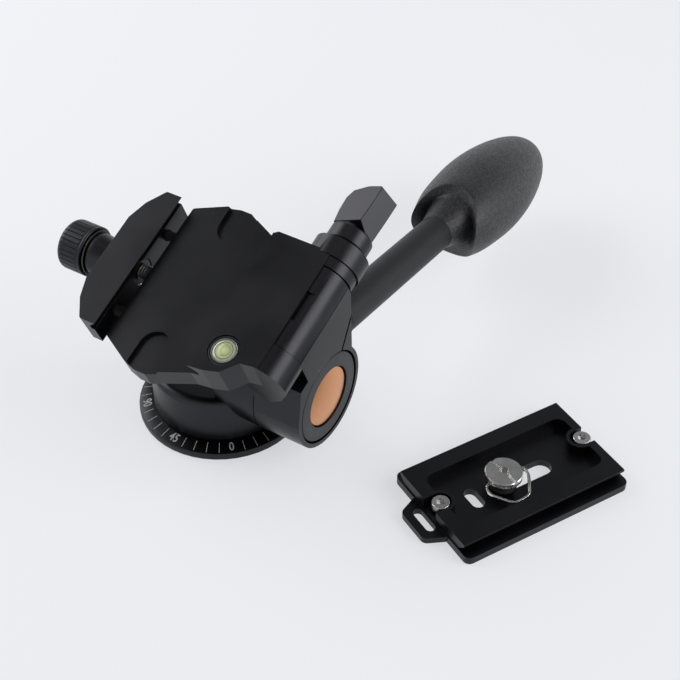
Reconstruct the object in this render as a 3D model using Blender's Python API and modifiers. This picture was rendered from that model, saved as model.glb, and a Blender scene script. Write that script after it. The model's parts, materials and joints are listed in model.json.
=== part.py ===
"""Three-way video head with a twist handle, a screw clamp and its lift-off dovetail plate.

Metres, +Z up. The pan axis is vertical, +X runs out through the tilt scale and +Y to the handle.
The tilt arm is modelled in its own frame, which REST_PITCH leans forward about the tilt axis.
"""

import math

import bmesh
import bpy
from mathutils import Matrix, Vector

# Fits and shared values
CLEAR = 0.0003
OVERRUN = 0.0060
REST_PITCH = math.radians(22.1)
HANDLE_DROP = math.radians(28.8)
SLIT_ANGLE = math.radians(40.0)
PLATE_TURN = math.radians(62.9)
FINE_STEPS = 48
ROUND_STEPS = 32
SMALL_STEPS = 16
CORNER_STEPS = 4
SHARP_ANGLE = math.radians(30.0)
WELD = 0.000001

# Base with its pan scale
BASE_RADIUS = 0.0300
BASE_RIM_HEIGHT = 0.0032
BASE_RIM_CHAMFER = 0.0007
BASE_SEAT_HEIGHT = 0.0046
HUB_RADIUS = 0.0105
HUB_HEIGHT = 0.0099
SOCKET_RADIUS = 0.00476
SOCKET_LEAD = 0.0006
BUSH_RADIUS = 0.0067
BUSH_LENGTH = 0.0060
BUSH_RECESS = 0.0003
SPINDLE_RADIUS = 0.0029
SPINDLE_HEAD_RADIUS = 0.0062
SPINDLE_HEAD_HEIGHT = 0.0018

# Pan housing and what it holds
HOUSING_RADIUS = 0.0246
HOUSING_TOP = 0.0225
HOUSING_EDGE = 0.0030
HOUSING_WEB = 0.0018
CHAMBER_RADIUS = 0.0078
CAP_LEDGE = 0.0008
HOUSING_CAP_THICKNESS = 0.0013
PAN_WASHER_INNER = 0.0116
PAN_WASHER_OUTER = 0.0215
PAN_WASHER_THICKNESS = 0.0007
SPRING_WASHER_RADIUS = 0.0070
SPRING_WASHER_THICKNESS = 0.0006
PAN_NUT_RADIUS = 0.0066
PAN_NUT_HEIGHT = 0.0024
PAN_LOCK_HEIGHT = 0.0118
PAN_LOCK_SCREW_RADIUS = 0.0025
PAN_LOCK_PAD_LENGTH = 0.0030
PAN_LOCK_KNOB_RADIUS = 0.0060
PAN_LOCK_KNOB_LENGTH = 0.0090
PAN_LOCK_NECK_RADIUS = 0.0042
PAN_LOCK_NECK_LENGTH = 0.0016
PAN_LOCK_GRIP_DEPTH = 0.0060
PAN_LOCK_FLUTES = 10
PAN_LOCK_FLUTE_RADIUS = 0.0011

# Tilt shaft, its scale ring and end cap
TILT_HEIGHT = 0.0254
BARREL_RADIUS = 0.0187
BARREL_START = 0.0112
BARREL_END = 0.0273
ARM_RIGHT = 0.0458
SHAFT_SEAT_RADIUS = 0.0077
SHAFT_SEAT_LENGTH = 0.0138
JOURNAL_RADIUS = 0.0112
SLEEVE_THICKNESS = 0.0007
RING_RADIUS = 0.0168
RING_THICKNESS = 0.0033
RING_RECESS = 0.0002
RING_CHAMFER = 0.0006
END_CAP_RADIUS = 0.01095
END_CAP_RIM = 0.0020
END_CAP_RISE = 0.0009
END_CAP_BEVEL = 0.0005
SHAFT_SCREW_RADIUS = 0.0029
SHAFT_SCREW_HEAD_RADIUS = 0.0050
SHAFT_SCREW_HEAD_HEIGHT = 0.0034
SHAFT_SCREW_BITE = 0.0018
HEX_SHARE = 0.5
HEX_DEPTH = 0.0018

# Tilt arm, in the leaned frame with the tilt axis as its origin
ROLL_X = 0.0368
ROLL_Z = 0.0318
HEAD_RADIUS = 0.0089
HEAD_NEAR = -0.0053
HEAD_FAR = 0.0259
HEAD_BORE_RADIUS = 0.0052
COLUMN_NEAR = -0.0100
COLUMN_SHOULDER = 0.0165
COLUMN_FRONT_TOP = 0.0205
COLUMN_FAR = 0.0232
COLUMN_BACK_HEIGHT = 0.0205
NOTCH_LENGTH = 0.0112
NOTCH_FRONT = 0.0014
NOTCH_DEPTH = 0.0012
SLIT_WIDTH = 0.0010
ROLL_BUSH_WALL = 0.0008
ROLL_BUSH_LENGTH = 0.0080
ROLL_BOLT_RADIUS = 0.0038

# Handle, along its own axis from the foot of the perpendicular to the tilt axis
HANDLE_OFFSET = 0.0193
HANDLE_X = 0.0367
HANDLE_BOSS_RADIUS = 0.0078
HANDLE_BOSS_END = 0.0150
STUD_RADIUS = 0.0038
STUD_START = -0.0050
STUD_BITE = 0.0140
INSERT_RADIUS = 0.0050
INSERT_START = -0.0060
INSERT_LENGTH = 0.0090
HANDLE_WASHER_RADIUS = 0.0072
HANDLE_WASHER_THICKNESS = 0.0008
BAR_RADIUS = 0.0067
BAR_EDGE = 0.0006
BAR_END = 0.1240
GRIP_START = 0.0911
GRIP_LENGTH = 0.0792
GRIP_WIDTH = 0.0374
GRIP_DEPTH = 0.0312
GRIP_RINGS = 11
GRIP_SIDES = 24
GRIP_SCOOP_DEPTH = 0.0130
GRIP_RIM_DIP = 0.0090

# Clamp platform, on the roll axis, in the leaned frame
LIP_HEIGHT = 0.0415
FLOOR_DROP = 0.0050
DECK_THICKNESS = 0.0130
FLOOR_HEIGHT = LIP_HEIGHT - FLOOR_DROP
DECK_BOTTOM = LIP_HEIGHT - DECK_THICKNESS
PLATFORM_MIDDLE = 0.0030
FLOOR_LEFT = -0.0180
FIXED_LIP_X = 0.0164
DOVETAIL_DEPTH = 0.0032
DECK_EDGE = 0.0385
DECK_FAR = 0.0312
EAR_RADIUS = 0.0094
EAR_NEAR = -0.0156
NEAR_EAR_DROP = 0.0148
FAR_BOSS_RADIUS = 0.0100
FAR_BOSS_LENGTH = 0.0060
U_SLOT_X = -0.0003
U_SLOT_HALF = 0.0056
U_SLOT_DEPTH = 0.0013
U_SLOT_FAR = 0.0227
U_SLOT_NEAR = -0.0153
LEVEL_X = 0.0248
LEVEL_Y = -0.0143
LEVEL_RADIUS = 0.0055
LEVEL_DEPTH = 0.0046
LEVEL_WALL = 0.0008
LEVEL_RIM_DROP = 0.0002
BOLT_BLIND = 0.0036

# Moving jaw, clamp screw and knob
CHANNEL_GAP = 0.0050
JAW_HALF_LENGTH = 0.0270
JAW_OUTER = -0.0343
CLAMP_SCREW_DROP = 0.0092
CLAMP_SCREW_HEIGHT = LIP_HEIGHT - CLAMP_SCREW_DROP
CLAMP_SCREW_RADIUS = 0.0030
CLAMP_SCREW_END = -0.0060
THREAD_PITCH = 0.0010
THREAD_DEPTH = 0.0004
GUIDE_PIN_RADIUS = 0.0018
GUIDE_PIN_SPREAD = 0.0160
GUIDE_PIN_BITE = 0.0140
GUIDE_PIN_REACH = 0.0090
CLIP_RADIUS = 0.0046
CLIP_THICKNESS = 0.0008
CLIP_GROOVE_DEPTH = 0.0006
COLLAR_LENGTH = 0.0076
COLLAR_RADIUS = 0.0075
COLLAR_FOOT_RADIUS = 0.0066
KNOB_WASHER_RADIUS = 0.0082
KNOB_WASHER_THICKNESS = 0.0006
KNOB_RADIUS = 0.0090
KNOB_LENGTH = 0.0106
KNOB_CHAMFER = 0.0015
KNOB_BORE_DEPTH = 0.0070
KNOB_FLUTES = 20
KNOB_FLUTE_RADIUS = 0.0008
KNOB_FLUTE_SINK = 0.0003

# Side tilt lock lever
WING_WASHER_RADIUS = 0.0076
WING_WASHER_THICKNESS = 0.0008
WING_HUB_RADIUS = 0.0076
WING_HUB_LENGTH = 0.0060
WING_LENGTH = 0.0182
WING_WIDTH = 0.0166
WING_ROOT_THICKNESS = 0.0125
WING_TIP_THICKNESS = 0.0068
WING_BORE_DEPTH = 0.0080
WING_TURN = math.radians(-20.0)

# Quick release plate, upside down on the ground beside the head
PLATE_X = 0.1071
PLATE_Y = 0.0187
SLAB_LENGTH = 0.0664
RAIL_SET = 0.0008
PLATE_LENGTH = SLAB_LENGTH - RAIL_SET
PLATE_WIDTH = 0.0380
PLATE_TOP = 0.0072
SLAB_WIDTH = 0.0440
SLAB_TOP = 0.0032
SLAB_CORNER = 0.0024
FLANGE_EDGE = 0.0010
PLATE_CORNER = 0.0016
PAD_THICKNESS = 0.0008
PAD_PROUD = 0.0003
PAD_LENGTH = 0.0500
PAD_WIDTH = 0.0120
PAD_OFFSET = 0.0130
POCKET_HALF_WIDTH = 0.0126
POCKET_LEFT_INSET = 0.0054
POCKET_RIGHT_INSET = 0.0036
POCKET_LEFT = POCKET_LEFT_INSET - SLAB_LENGTH / 2
POCKET_RIGHT = SLAB_LENGTH / 2 - POCKET_RIGHT_INSET
SLOT_HALF_WIDTH = 0.0035
LONG_SLOT_LEFT = -0.0085
LONG_SLOT_RIGHT = 0.0155
CROSS_SLOT_X = -0.0160
CROSS_SLOT_HALF_LENGTH = 0.0046
CROSS_SLOT_HALF_WIDTH = 0.0023
STOP_LEFT_INSET = 0.0048
STOP_RIGHT_INSET = 0.0029
STOP_LEFT_X = STOP_LEFT_INSET - SLAB_LENGTH / 2
STOP_RIGHT_X = SLAB_LENGTH / 2 - STOP_RIGHT_INSET
STOP_Y = 0.0009
STOP_HEAD_RADIUS = 0.0032
STOP_HEAD_HEIGHT = 0.0026
STOP_LIFT = 0.0010
STOP_SHANK_RADIUS = 0.0014
NOTCH_RADIUS = 0.0036
NOTCH_LEDGE = 0.0032
TAB_REACH = 0.0070
TAB_HALF_WIDTH = 0.0100
TAB_TIP_HALF_WIDTH = 0.0068
TAB_THICKNESS = 0.0024
STRAP_SLOT_HALF_LENGTH = 0.0054
STRAP_SLOT_HALF_WIDTH = 0.0017
STRAP_SLOT_INSET = 0.0006
CAMERA_SCREW_X = -0.0043
CAMERA_SCREW_RADIUS = 0.0031
CAMERA_SCREW_HEAD_RADIUS = 0.0065
CAMERA_SCREW_HEAD_HEIGHT = 0.0019
CAMERA_SCREW_COLLAR_RADIUS = 0.0052
CAMERA_SCREW_COLLAR_HEIGHT = 0.0016
DRIVER_SLOT_WIDTH = 0.0013
DRIVER_SLOT_DEPTH = 0.0010
DRIVER_HEX_RADIUS = 0.0018
RING_WIRE_RADIUS = 0.0006
RING_EAR_RADIUS = 0.0053
RING_REACH = 0.0102
RING_SHOULDER = 0.0083
CLIP_WASHER_RADIUS = 0.0048
CLIP_WASHER_THICKNESS = 0.0005

# Shares and smaller sizes of the outlines
CORNER = 0.0010
NEARLY_ALL = 0.999
COLUMN_FOOT_ANGLE = math.radians(22.0)
COLUMN_ROOT_ANGLE = math.radians(18.0)
COLUMN_BACK_DROP = 0.0038
HANDLE_BOSS_START = -0.0040
NOTCH_NEAR = 0.0045
SEAT_SAG = 0.97
GRIP_SHARES = (
    (0.0, 0.73),
    (0.1, 0.885),
    (0.2, 0.955),
    (0.33, 1.0),
    (0.49, 0.985),
    (0.65, 0.955),
    (0.8, 0.856),
    (0.9, 0.6),
    (1.0, 0.18),
)
GRIP_SCOOP_RADIUS = 0.0125
END_HALF = 0.0270
BULGE_HALF = 0.0335
BULGE_RISE = 0.0022
BULGE_RUN = 0.0045
BULGE_LEFT = -0.0025
BULGE_RIGHT = 0.0018
NECK_X = 0.0165
SHOULDER_SET = 0.0014
LEVEL_LAND_SHARE = 1.35
WEB_STEP = 0.0022
EAR_TIP_HALF = 0.0028
EAR_FLANK_SHARE = 0.6
VIAL_CROWN = 0.0008
JAW_LIP_OVERHANG = 0.0020
JAW_CORNER_RUN = 0.0070
JAW_CORNER_SHARE = 0.35
JAW_SHOULDER_SHARE = 0.75
JAW_FACE_HALF = 0.0130
KNOB_BAND = 0.0016
WING_NECK_SHARE = 0.9
WING_TIP_SHARE = 0.35
POST_WALL = 0.0012
SLOT_Y = -0.0008
STOP_HEX_DEPTH = 0.0014
CAMERA_SCREW_LENGTH = 0.0062
DRIVER_SLOT_TURN = math.radians(-85.6)
RING_END = 0.0044
RING_TIP_HALF = 0.0034
RING_SHOULDER_SHARE = 0.35
RING_TURN = math.radians(4.0)
RING_SAG = math.radians(-14.0)


def clear_scene():
    for obj in list(bpy.data.objects):
        bpy.data.objects.remove(obj, do_unlink=True)


def new_collection(name, hidden=False):
    collection = bpy.data.collections.new(name)
    collection.hide_render = hidden
    bpy.context.scene.collection.children.link(collection)
    return collection


def material(name, colour, roughness, metallic):
    made = bpy.data.materials.new(name)
    made.use_nodes = True
    shader = made.node_tree.nodes["Principled BSDF"]
    shader.inputs["Base Color"].default_value = (*colour, 1.0)
    shader.inputs["Roughness"].default_value = roughness
    shader.inputs["Metallic"].default_value = metallic
    made.diffuse_color = (*colour, 1.0)
    return made


# Frames: an empty for each axis that something turns about or slides along


def axis_empty(name, parent, matrix):
    empty = bpy.data.objects.new(name, None)
    empty.empty_display_size = BASE_RADIUS
    parts.objects.link(empty)
    empty.parent = parent
    empty.matrix_local = matrix
    bpy.context.view_layer.update()
    return empty


def attach(obj, frame, joint=None):
    """Keeps the mesh in the frame's own coordinates and hangs the object on the joint's empty."""
    carrier = joint or frame
    obj.parent = carrier
    obj.matrix_parent_inverse = carrier.matrix_world.inverted() @ frame.matrix_world


# Solid makers, each in the coordinates of the frame that the piece is attached to

AXIS_TURN = {
    "Z": Matrix.Identity(4),
    "X": Matrix(((0, 0, 1, 0), (1, 0, 0, 0), (0, 1, 0, 0), (0, 0, 0, 1))),
    "Y": Matrix(((0, 1, 0, 0), (0, 0, 1, 0), (1, 0, 0, 0), (0, 0, 0, 1))),
}


def mesh_object(name, mesh):
    obj = bpy.data.objects.new(name, mesh)
    parts.objects.link(obj)
    return obj


def placed(obj, axis, centre):
    """Turns a solid that was made along local Z to the axis, and moves it to centre."""
    obj.data.transform(Matrix.Translation(Vector(centre)) @ AXIS_TURN[axis])
    return obj


def baked(obj):
    """The object with its modifiers worked in, as a plain closed mesh."""
    graph = bpy.context.evaluated_depsgraph_get()
    mesh = bpy.data.meshes.new_from_object(obj.evaluated_get(graph))
    name = obj.name
    bpy.data.objects.remove(obj, do_unlink=True)
    shape = bmesh.new()
    shape.from_mesh(mesh)
    bmesh.ops.remove_doubles(shape, verts=shape.verts, dist=WELD)
    bmesh.ops.recalc_face_normals(shape, faces=shape.faces)
    shape.to_mesh(mesh)
    shape.free()
    return mesh_object(name, mesh)


def turned(name, profile, axis="Z", centre=(0, 0, 0), steps=ROUND_STEPS, closed=False):
    """A turned shape: profile holds (radius, height) from the top of the outer side down."""
    mesh = bpy.data.meshes.new(name)
    last = len(profile) if closed else len(profile) - 1
    edges = [(i, (i + 1) % len(profile)) for i in range(last)]
    mesh.from_pydata([(radius, 0, height) for radius, height in profile], edges, [])
    obj = mesh_object(name, mesh)
    screw = obj.modifiers.new("turn", "SCREW")
    screw.steps = steps
    screw.render_steps = steps
    screw.use_merge_vertices = True
    screw.merge_threshold = WELD
    return placed(baked(obj), axis, centre)


def tube(name, outer, inner, low, high, axis="Z", centre=(0, 0, 0), steps=ROUND_STEPS):
    profile = [(outer, high), (outer, low), (inner, low), (inner, high)]
    return turned(name, profile, axis, centre, steps, closed=True)


def rod(name, radius, low, high, axis="Z", centre=(0, 0, 0), steps=ROUND_STEPS):
    shape = bmesh.new()
    bmesh.ops.create_cone(
        shape,
        cap_ends=True,
        segments=steps,
        radius1=radius,
        radius2=radius,
        depth=high - low,
        matrix=Matrix.Translation((0, 0, (high + low) / 2)),
    )
    mesh = bpy.data.meshes.new(name)
    shape.to_mesh(mesh)
    shape.free()
    return placed(mesh_object(name, mesh), axis, centre)


def block(name, low, high):
    """A box between two corners."""
    shape = bmesh.new()
    bmesh.ops.create_cube(shape, size=1.0)
    size = Vector(high) - Vector(low)
    middle = (Vector(high) + Vector(low)) / 2
    bmesh.ops.transform(
        shape, matrix=Matrix.Translation(middle) @ Matrix.Diagonal((*size, 1.0)), verts=shape.verts
    )
    mesh = bpy.data.meshes.new(name)
    shape.to_mesh(mesh)
    shape.free()
    return mesh_object(name, mesh)


def prism(name, outline, low, high, axis="Z", centre=(0, 0, 0)):
    """A flat outline extruded from low to high along the axis; on Y it is given as X and Z."""
    if axis == "Y":
        outline = [(z, x) for x, z in outline]
    curve = bpy.data.curves.new(name, "CURVE")
    curve.dimensions = "2D"
    curve.fill_mode = "BOTH"
    curve.extrude = (high - low) / 2
    spline = curve.splines.new("POLY")
    spline.points.add(len(outline) - 1)
    for point, (x, y) in zip(spline.points, outline):
        point.co = (x, y, 0, 1)
    spline.use_cyclic_u = True
    obj = baked(mesh_object(name, curve))
    obj.data.transform(Matrix.Translation((0, 0, (high + low) / 2)))
    return placed(obj, axis, centre)


def rounded(outline, radius, steps=CORNER_STEPS):
    """The outline with each corner turned into an arc, or each by its own radius."""
    radii = radius if isinstance(radius, (list, tuple)) else [radius] * len(outline)
    points = []
    for index, corner in enumerate(outline):
        here = Vector(corner)
        before = Vector(outline[index - 1]) - here
        after = Vector(outline[(index + 1) % len(outline)]) - here
        half = before.angle(after) / 2
        if not radii[index]:
            points.append(tuple(here))
            continue
        room = min(before.length, after.length) / 2
        run = min(radii[index] / math.tan(half), room)
        arc = run * math.tan(half)
        centre = here + (before.normalized() + after.normalized()).normalized() * arc / math.sin(half)
        start = here + before.normalized() * run - centre
        sweep = math.pi - 2 * half
        turn = 1 if before.cross(after) < 0 else -1
        for step in range(steps + 1):
            points.append(tuple(centre + Matrix.Rotation(turn * sweep * step / steps, 2) @ start))
    return points


def rectangle(half_x, half_y, centre=(0, 0)):
    x, y = centre
    return [(x - half_x, y - half_y), (x + half_x, y - half_y), (x + half_x, y + half_y), (x - half_x, y + half_y)]


def stadium(half_x, half_y, centre=(0, 0)):
    """A slot's outline: a rectangle whose short ends are half circles."""
    return rounded(rectangle(half_x, half_y, centre), min(half_x, half_y) * NEARLY_ALL)


def hexagon(radius):
    return [(radius * math.cos(math.pi * k / 3), radius * math.sin(math.pi * k / 3)) for k in range(6)]


def boolean(target, tool, operation):
    """Cuts tool from target, or joins it on, and keeps the tool with the hidden cutters."""
    modifier = target.modifiers.new(tool.name, "BOOLEAN")
    modifier.operation = operation
    modifier.object = tool
    tool.hide_render = True
    tool.display_type = "WIRE"
    parts.objects.unlink(tool)
    cutters.objects.link(tool)


def cut(target, *tools):
    for tool in tools:
        boolean(target, tool, "DIFFERENCE")


def join(target, *tools):
    for tool in tools:
        boolean(target, tool, "UNION")


def solid(obj, finish, frame, joint=None):
    """Names the finished piece's material, shades it and hangs it and its tools on their empty."""
    obj.data.materials.clear()
    obj.data.materials.append(finish)
    if any(modifier.type == "BOOLEAN" for modifier in obj.modifiers):
        obj.data.shade_flat()
    else:
        obj.data.shade_smooth()
        obj.data.set_sharp_from_angle(angle=SHARP_ANGLE)
    attach(obj, frame, joint)
    for modifier in obj.modifiers:
        if modifier.type == "BOOLEAN" and modifier.object.parent is None:
            attach(modifier.object, frame, joint)
    return obj


# Pan base, fixed to the tripod


def bush_top():
    return BUSH_RECESS + BUSH_LENGTH


def spindle_head_top():
    return bush_top() + CLEAR + SPINDLE_HEAD_HEIGHT


def hub_top():
    return BASE_SEAT_HEIGHT + HUB_HEIGHT


def chamber_floor():
    return hub_top() + CLEAR + HOUSING_WEB


def build_base(frame):
    bush_bore = BUSH_RADIUS + CLEAR
    spindle_bore = SPINDLE_RADIUS + CLEAR
    ceiling = spindle_head_top() + CLEAR
    profile = [
        (HUB_RADIUS, hub_top()),
        (HUB_RADIUS, BASE_SEAT_HEIGHT),
        (HOUSING_RADIUS, BASE_SEAT_HEIGHT),
        (BASE_RADIUS - BASE_RIM_CHAMFER / 2, BASE_RIM_HEIGHT),
        (BASE_RADIUS, BASE_RIM_HEIGHT - BASE_RIM_CHAMFER / 2),
        (BASE_RADIUS, BASE_RIM_CHAMFER),
        (BASE_RADIUS - BASE_RIM_CHAMFER, 0),
        (bush_bore, 0),
        (bush_bore, ceiling),
        (spindle_bore, ceiling),
        (spindle_bore, hub_top()),
    ]
    solid(turned("pan_scale_base", profile, steps=FINE_STEPS, closed=True), black_metal, frame)
    bush = [
        (BUSH_RADIUS, bush_top()),
        (BUSH_RADIUS, BUSH_RECESS),
        (SOCKET_RADIUS + SOCKET_LEAD, BUSH_RECESS),
        (SOCKET_RADIUS, BUSH_RECESS + SOCKET_LEAD),
        (SOCKET_RADIUS, bush_top()),
    ]
    solid(turned("tripod_thread_bush", bush, steps=SMALL_STEPS * 2, closed=True), steel, frame)


def build_spindle(frame):
    head_bottom = bush_top() + CLEAR
    top = chamber_floor() + CLEAR * 2 + SPRING_WASHER_THICKNESS + PAN_NUT_HEIGHT
    profile = [
        (0, top),
        (SPINDLE_RADIUS, top),
        (SPINDLE_RADIUS, spindle_head_top()),
        (SPINDLE_HEAD_RADIUS, spindle_head_top()),
        (SPINDLE_HEAD_RADIUS, head_bottom),
        (0, head_bottom),
    ]
    solid(turned("pan_spindle", profile, steps=SMALL_STEPS), steel, frame)
    washer_low = BASE_SEAT_HEIGHT + CLEAR
    washer = tube(
        "pan_thrust_washer", PAN_WASHER_OUTER, PAN_WASHER_INNER, washer_low, washer_low + PAN_WASHER_THICKNESS
    )
    solid(washer, white_plastic, frame)
    spring_low = chamber_floor() + CLEAR
    bore = SPINDLE_RADIUS + CLEAR
    spring = tube(
        "pan_spring_washer", SPRING_WASHER_RADIUS, bore, spring_low, spring_low + SPRING_WASHER_THICKNESS, steps=SMALL_STEPS
    )
    solid(spring, steel, frame)
    nut_low = spring_low + SPRING_WASHER_THICKNESS + CLEAR
    nut = prism("pan_retaining_nut", hexagon(PAN_NUT_RADIUS), nut_low, nut_low + PAN_NUT_HEIGHT)
    cut(nut, rod("nut_bore", bore, nut_low - OVERRUN, nut_low + PAN_NUT_HEIGHT + OVERRUN, steps=SMALL_STEPS))
    solid(nut, steel, frame)


# Pan housing, which turns on the base and carries the tilt shaft


def journal_end():
    return ARM_RIGHT - RING_RECESS - RING_THICKNESS - CLEAR


def build_housing(frame, joint):
    foot = BASE_SEAT_HEIGHT + CLEAR
    seat = foot + PAN_WASHER_THICKNESS + CLEAR
    edge = [
        (
            HOUSING_RADIUS - HOUSING_EDGE * (1 - math.sin(angle)),
            HOUSING_TOP - HOUSING_EDGE * (1 - math.cos(angle)),
        )
        for angle in (math.pi / 2 * k / CORNER_STEPS for k in range(CORNER_STEPS + 1))
    ]
    cap_radius = CHAMBER_RADIUS + CAP_LEDGE
    ledge = HOUSING_TOP - HOUSING_CAP_THICKNESS - CLEAR
    profile = edge + [
        (HOUSING_RADIUS, foot),
        (PAN_WASHER_OUTER + CLEAR, foot),
        (PAN_WASHER_OUTER + CLEAR, seat),
        (HUB_RADIUS + CLEAR, seat),
        (HUB_RADIUS + CLEAR, hub_top() + CLEAR),
        (SPINDLE_RADIUS + CLEAR, hub_top() + CLEAR),
        (SPINDLE_RADIUS + CLEAR, chamber_floor()),
        (CHAMBER_RADIUS, chamber_floor()),
        (CHAMBER_RADIUS, ledge),
        (cap_radius, ledge),
        (cap_radius, HOUSING_TOP),
    ]
    housing = turned("pan_housing", profile, steps=FINE_STEPS, closed=True)
    axis = (0, 0, TILT_HEIGHT)
    join(housing, rod("barrel_stub", BARREL_RADIUS, BARREL_START, BARREL_END, "X", axis, FINE_STEPS))
    seat_bore = SHAFT_SEAT_RADIUS + CLEAR
    seat_start = BARREL_END - SHAFT_SEAT_LENGTH
    lock_bore = PAN_LOCK_SCREW_RADIUS + CLEAR
    cut(
        housing,
        rod("shaft_bore", seat_bore, seat_start, BARREL_END + OVERRUN, "X", axis),
        rod("shaft_screw_hole", SHAFT_SCREW_RADIUS + CLEAR, BARREL_START - OVERRUN / 2, seat_start + CLEAR, "X", axis, SMALL_STEPS),
        rod("lock_hole", lock_bore, -HOUSING_RADIUS - OVERRUN, -HUB_RADIUS, "X", (0, 0, PAN_LOCK_HEIGHT), SMALL_STEPS),
    )
    solid(housing, black_metal, frame, joint)
    cap = rod("housing_cap", cap_radius - CLEAR, ledge + CLEAR, HOUSING_TOP - CLEAR / 2)
    solid(cap, black_metal, frame, joint)


def build_tilt_shaft(frame, joint):
    axis = (0, 0, TILT_HEIGHT)
    seat_start = BARREL_END - SHAFT_SEAT_LENGTH + CLEAR
    shoulder = BARREL_END + CLEAR
    end = journal_end()
    screw_bore = SHAFT_SCREW_RADIUS + CLEAR
    head_bore = SHAFT_SCREW_HEAD_RADIUS + CLEAR
    head_floor = end - SHAFT_SCREW_HEAD_HEIGHT - CLEAR
    profile = [
        (JOURNAL_RADIUS, end),
        (JOURNAL_RADIUS, shoulder),
        (SHAFT_SEAT_RADIUS, shoulder),
        (SHAFT_SEAT_RADIUS, seat_start),
        (screw_bore, seat_start),
        (screw_bore, head_floor),
        (head_bore, head_floor),
        (head_bore, end),
    ]
    solid(turned("tilt_shaft", profile, "X", axis, closed=True), steel, frame, joint)

    head_low = head_floor + CLEAR
    tip = BARREL_END - SHAFT_SEAT_LENGTH - SHAFT_SCREW_BITE
    screw = turned(
        "tilt_shaft_screw",
        [
            (0, head_low + SHAFT_SCREW_HEAD_HEIGHT - CLEAR),
            (SHAFT_SCREW_HEAD_RADIUS, head_low + SHAFT_SCREW_HEAD_HEIGHT - CLEAR),
            (SHAFT_SCREW_HEAD_RADIUS, head_low),
            (SHAFT_SCREW_RADIUS, head_low),
            (SHAFT_SCREW_RADIUS, tip),
            (0, tip),
        ],
        "X",
        axis,
        SMALL_STEPS,
    )
    top = head_low + SHAFT_SCREW_HEAD_HEIGHT
    cut(screw, prism("shaft_screw_hex", hexagon(SHAFT_SCREW_HEAD_RADIUS * HEX_SHARE), top - HEX_DEPTH, top + OVERRUN, "X", axis))
    solid(screw, steel, frame, joint)

    ring_low = end + CLEAR
    ring_high = ring_low + RING_THICKNESS
    ring_bore = END_CAP_RADIUS + CLEAR
    ring = [
        (RING_RADIUS - RING_CHAMFER, ring_high),
        (RING_RADIUS, ring_high - RING_CHAMFER),
        (RING_RADIUS, ring_low),
        (ring_bore, ring_low),
        (ring_bore, ring_high),
    ]
    solid(turned("tilt_scale_ring", ring, "X", axis, FINE_STEPS, closed=True), black_metal, frame, joint)
    cap_high = ring_high - END_CAP_RIM / 4
    cap = [
        (0, cap_high + END_CAP_RISE),
        (END_CAP_RADIUS / 2, cap_high + END_CAP_RISE * 3 / 4),
        (END_CAP_RADIUS - END_CAP_BEVEL, cap_high),
        (END_CAP_RADIUS, cap_high - END_CAP_BEVEL),
        (END_CAP_RADIUS, ring_low),
        (0, ring_low),
    ]
    solid(turned("tilt_end_cap", cap, "X", axis), orange_metal, frame, joint)


def knob_with_flutes(name, profile, axis, centre, steps, flutes, radius, flute_radius, sink, low, high):
    """A turned knob whose grip is cut by evenly spaced round flutes."""
    knob = turned(name, profile, axis, centre, steps)
    reach = radius + flute_radius - sink
    for k in range(flutes):
        angle = math.tau * k / flutes
        offset = AXIS_TURN[axis] @ Vector((reach * math.cos(angle), reach * math.sin(angle), 0))
        groove = rod(f"{name}_flute_{k + 1}", flute_radius, low, high, axis, Vector(centre) + offset, 8)
        cut(knob, groove)
    return knob


def build_pan_lock(frame, pan_joint, lock_joint):
    centre = (0, 0, PAN_LOCK_HEIGHT)
    pad_in = -HUB_RADIUS - CLEAR * 2
    pad_out = pad_in - PAN_LOCK_PAD_LENGTH
    pad = rod("pan_lock_pad", PAN_LOCK_SCREW_RADIUS - CLEAR / 2, pad_out, pad_in, "X", centre, SMALL_STEPS)
    solid(pad, brass, frame, pan_joint)
    neck_in = -HOUSING_RADIUS - CLEAR * 2
    neck_out = neck_in - PAN_LOCK_NECK_LENGTH
    knob_out = neck_out - PAN_LOCK_KNOB_LENGTH
    bore = PAN_LOCK_SCREW_RADIUS + CLEAR
    screw_out = neck_out - PAN_LOCK_GRIP_DEPTH
    screw = rod("pan_lock_screw", PAN_LOCK_SCREW_RADIUS, screw_out + CLEAR, pad_out - CLEAR, "X", centre, SMALL_STEPS)
    solid(screw, steel, frame, lock_joint)
    profile = [
        (0, screw_out),
        (bore, screw_out),
        (bore, neck_in),
        (PAN_LOCK_NECK_RADIUS, neck_in),
        (PAN_LOCK_NECK_RADIUS, neck_out),
        (PAN_LOCK_KNOB_RADIUS, neck_out - CLEAR),
        (PAN_LOCK_KNOB_RADIUS, knob_out + CLEAR * 3),
        (PAN_LOCK_KNOB_RADIUS - CLEAR * 3, knob_out),
        (0, knob_out),
    ]
    knob = knob_with_flutes(
        "pan_lock_knob",
        profile,
        "X",
        centre,
        ROUND_STEPS,
        PAN_LOCK_FLUTES,
        PAN_LOCK_KNOB_RADIUS,
        PAN_LOCK_FLUTE_RADIUS,
        PAN_LOCK_FLUTE_RADIUS / 2,
        knob_out - OVERRUN,
        neck_out - PAN_LOCK_FLUTE_RADIUS,
    )
    solid(knob, black_metal, frame, lock_joint)


# Tilt arm, a collar round the shaft with a column up to the side tilt head


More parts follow.
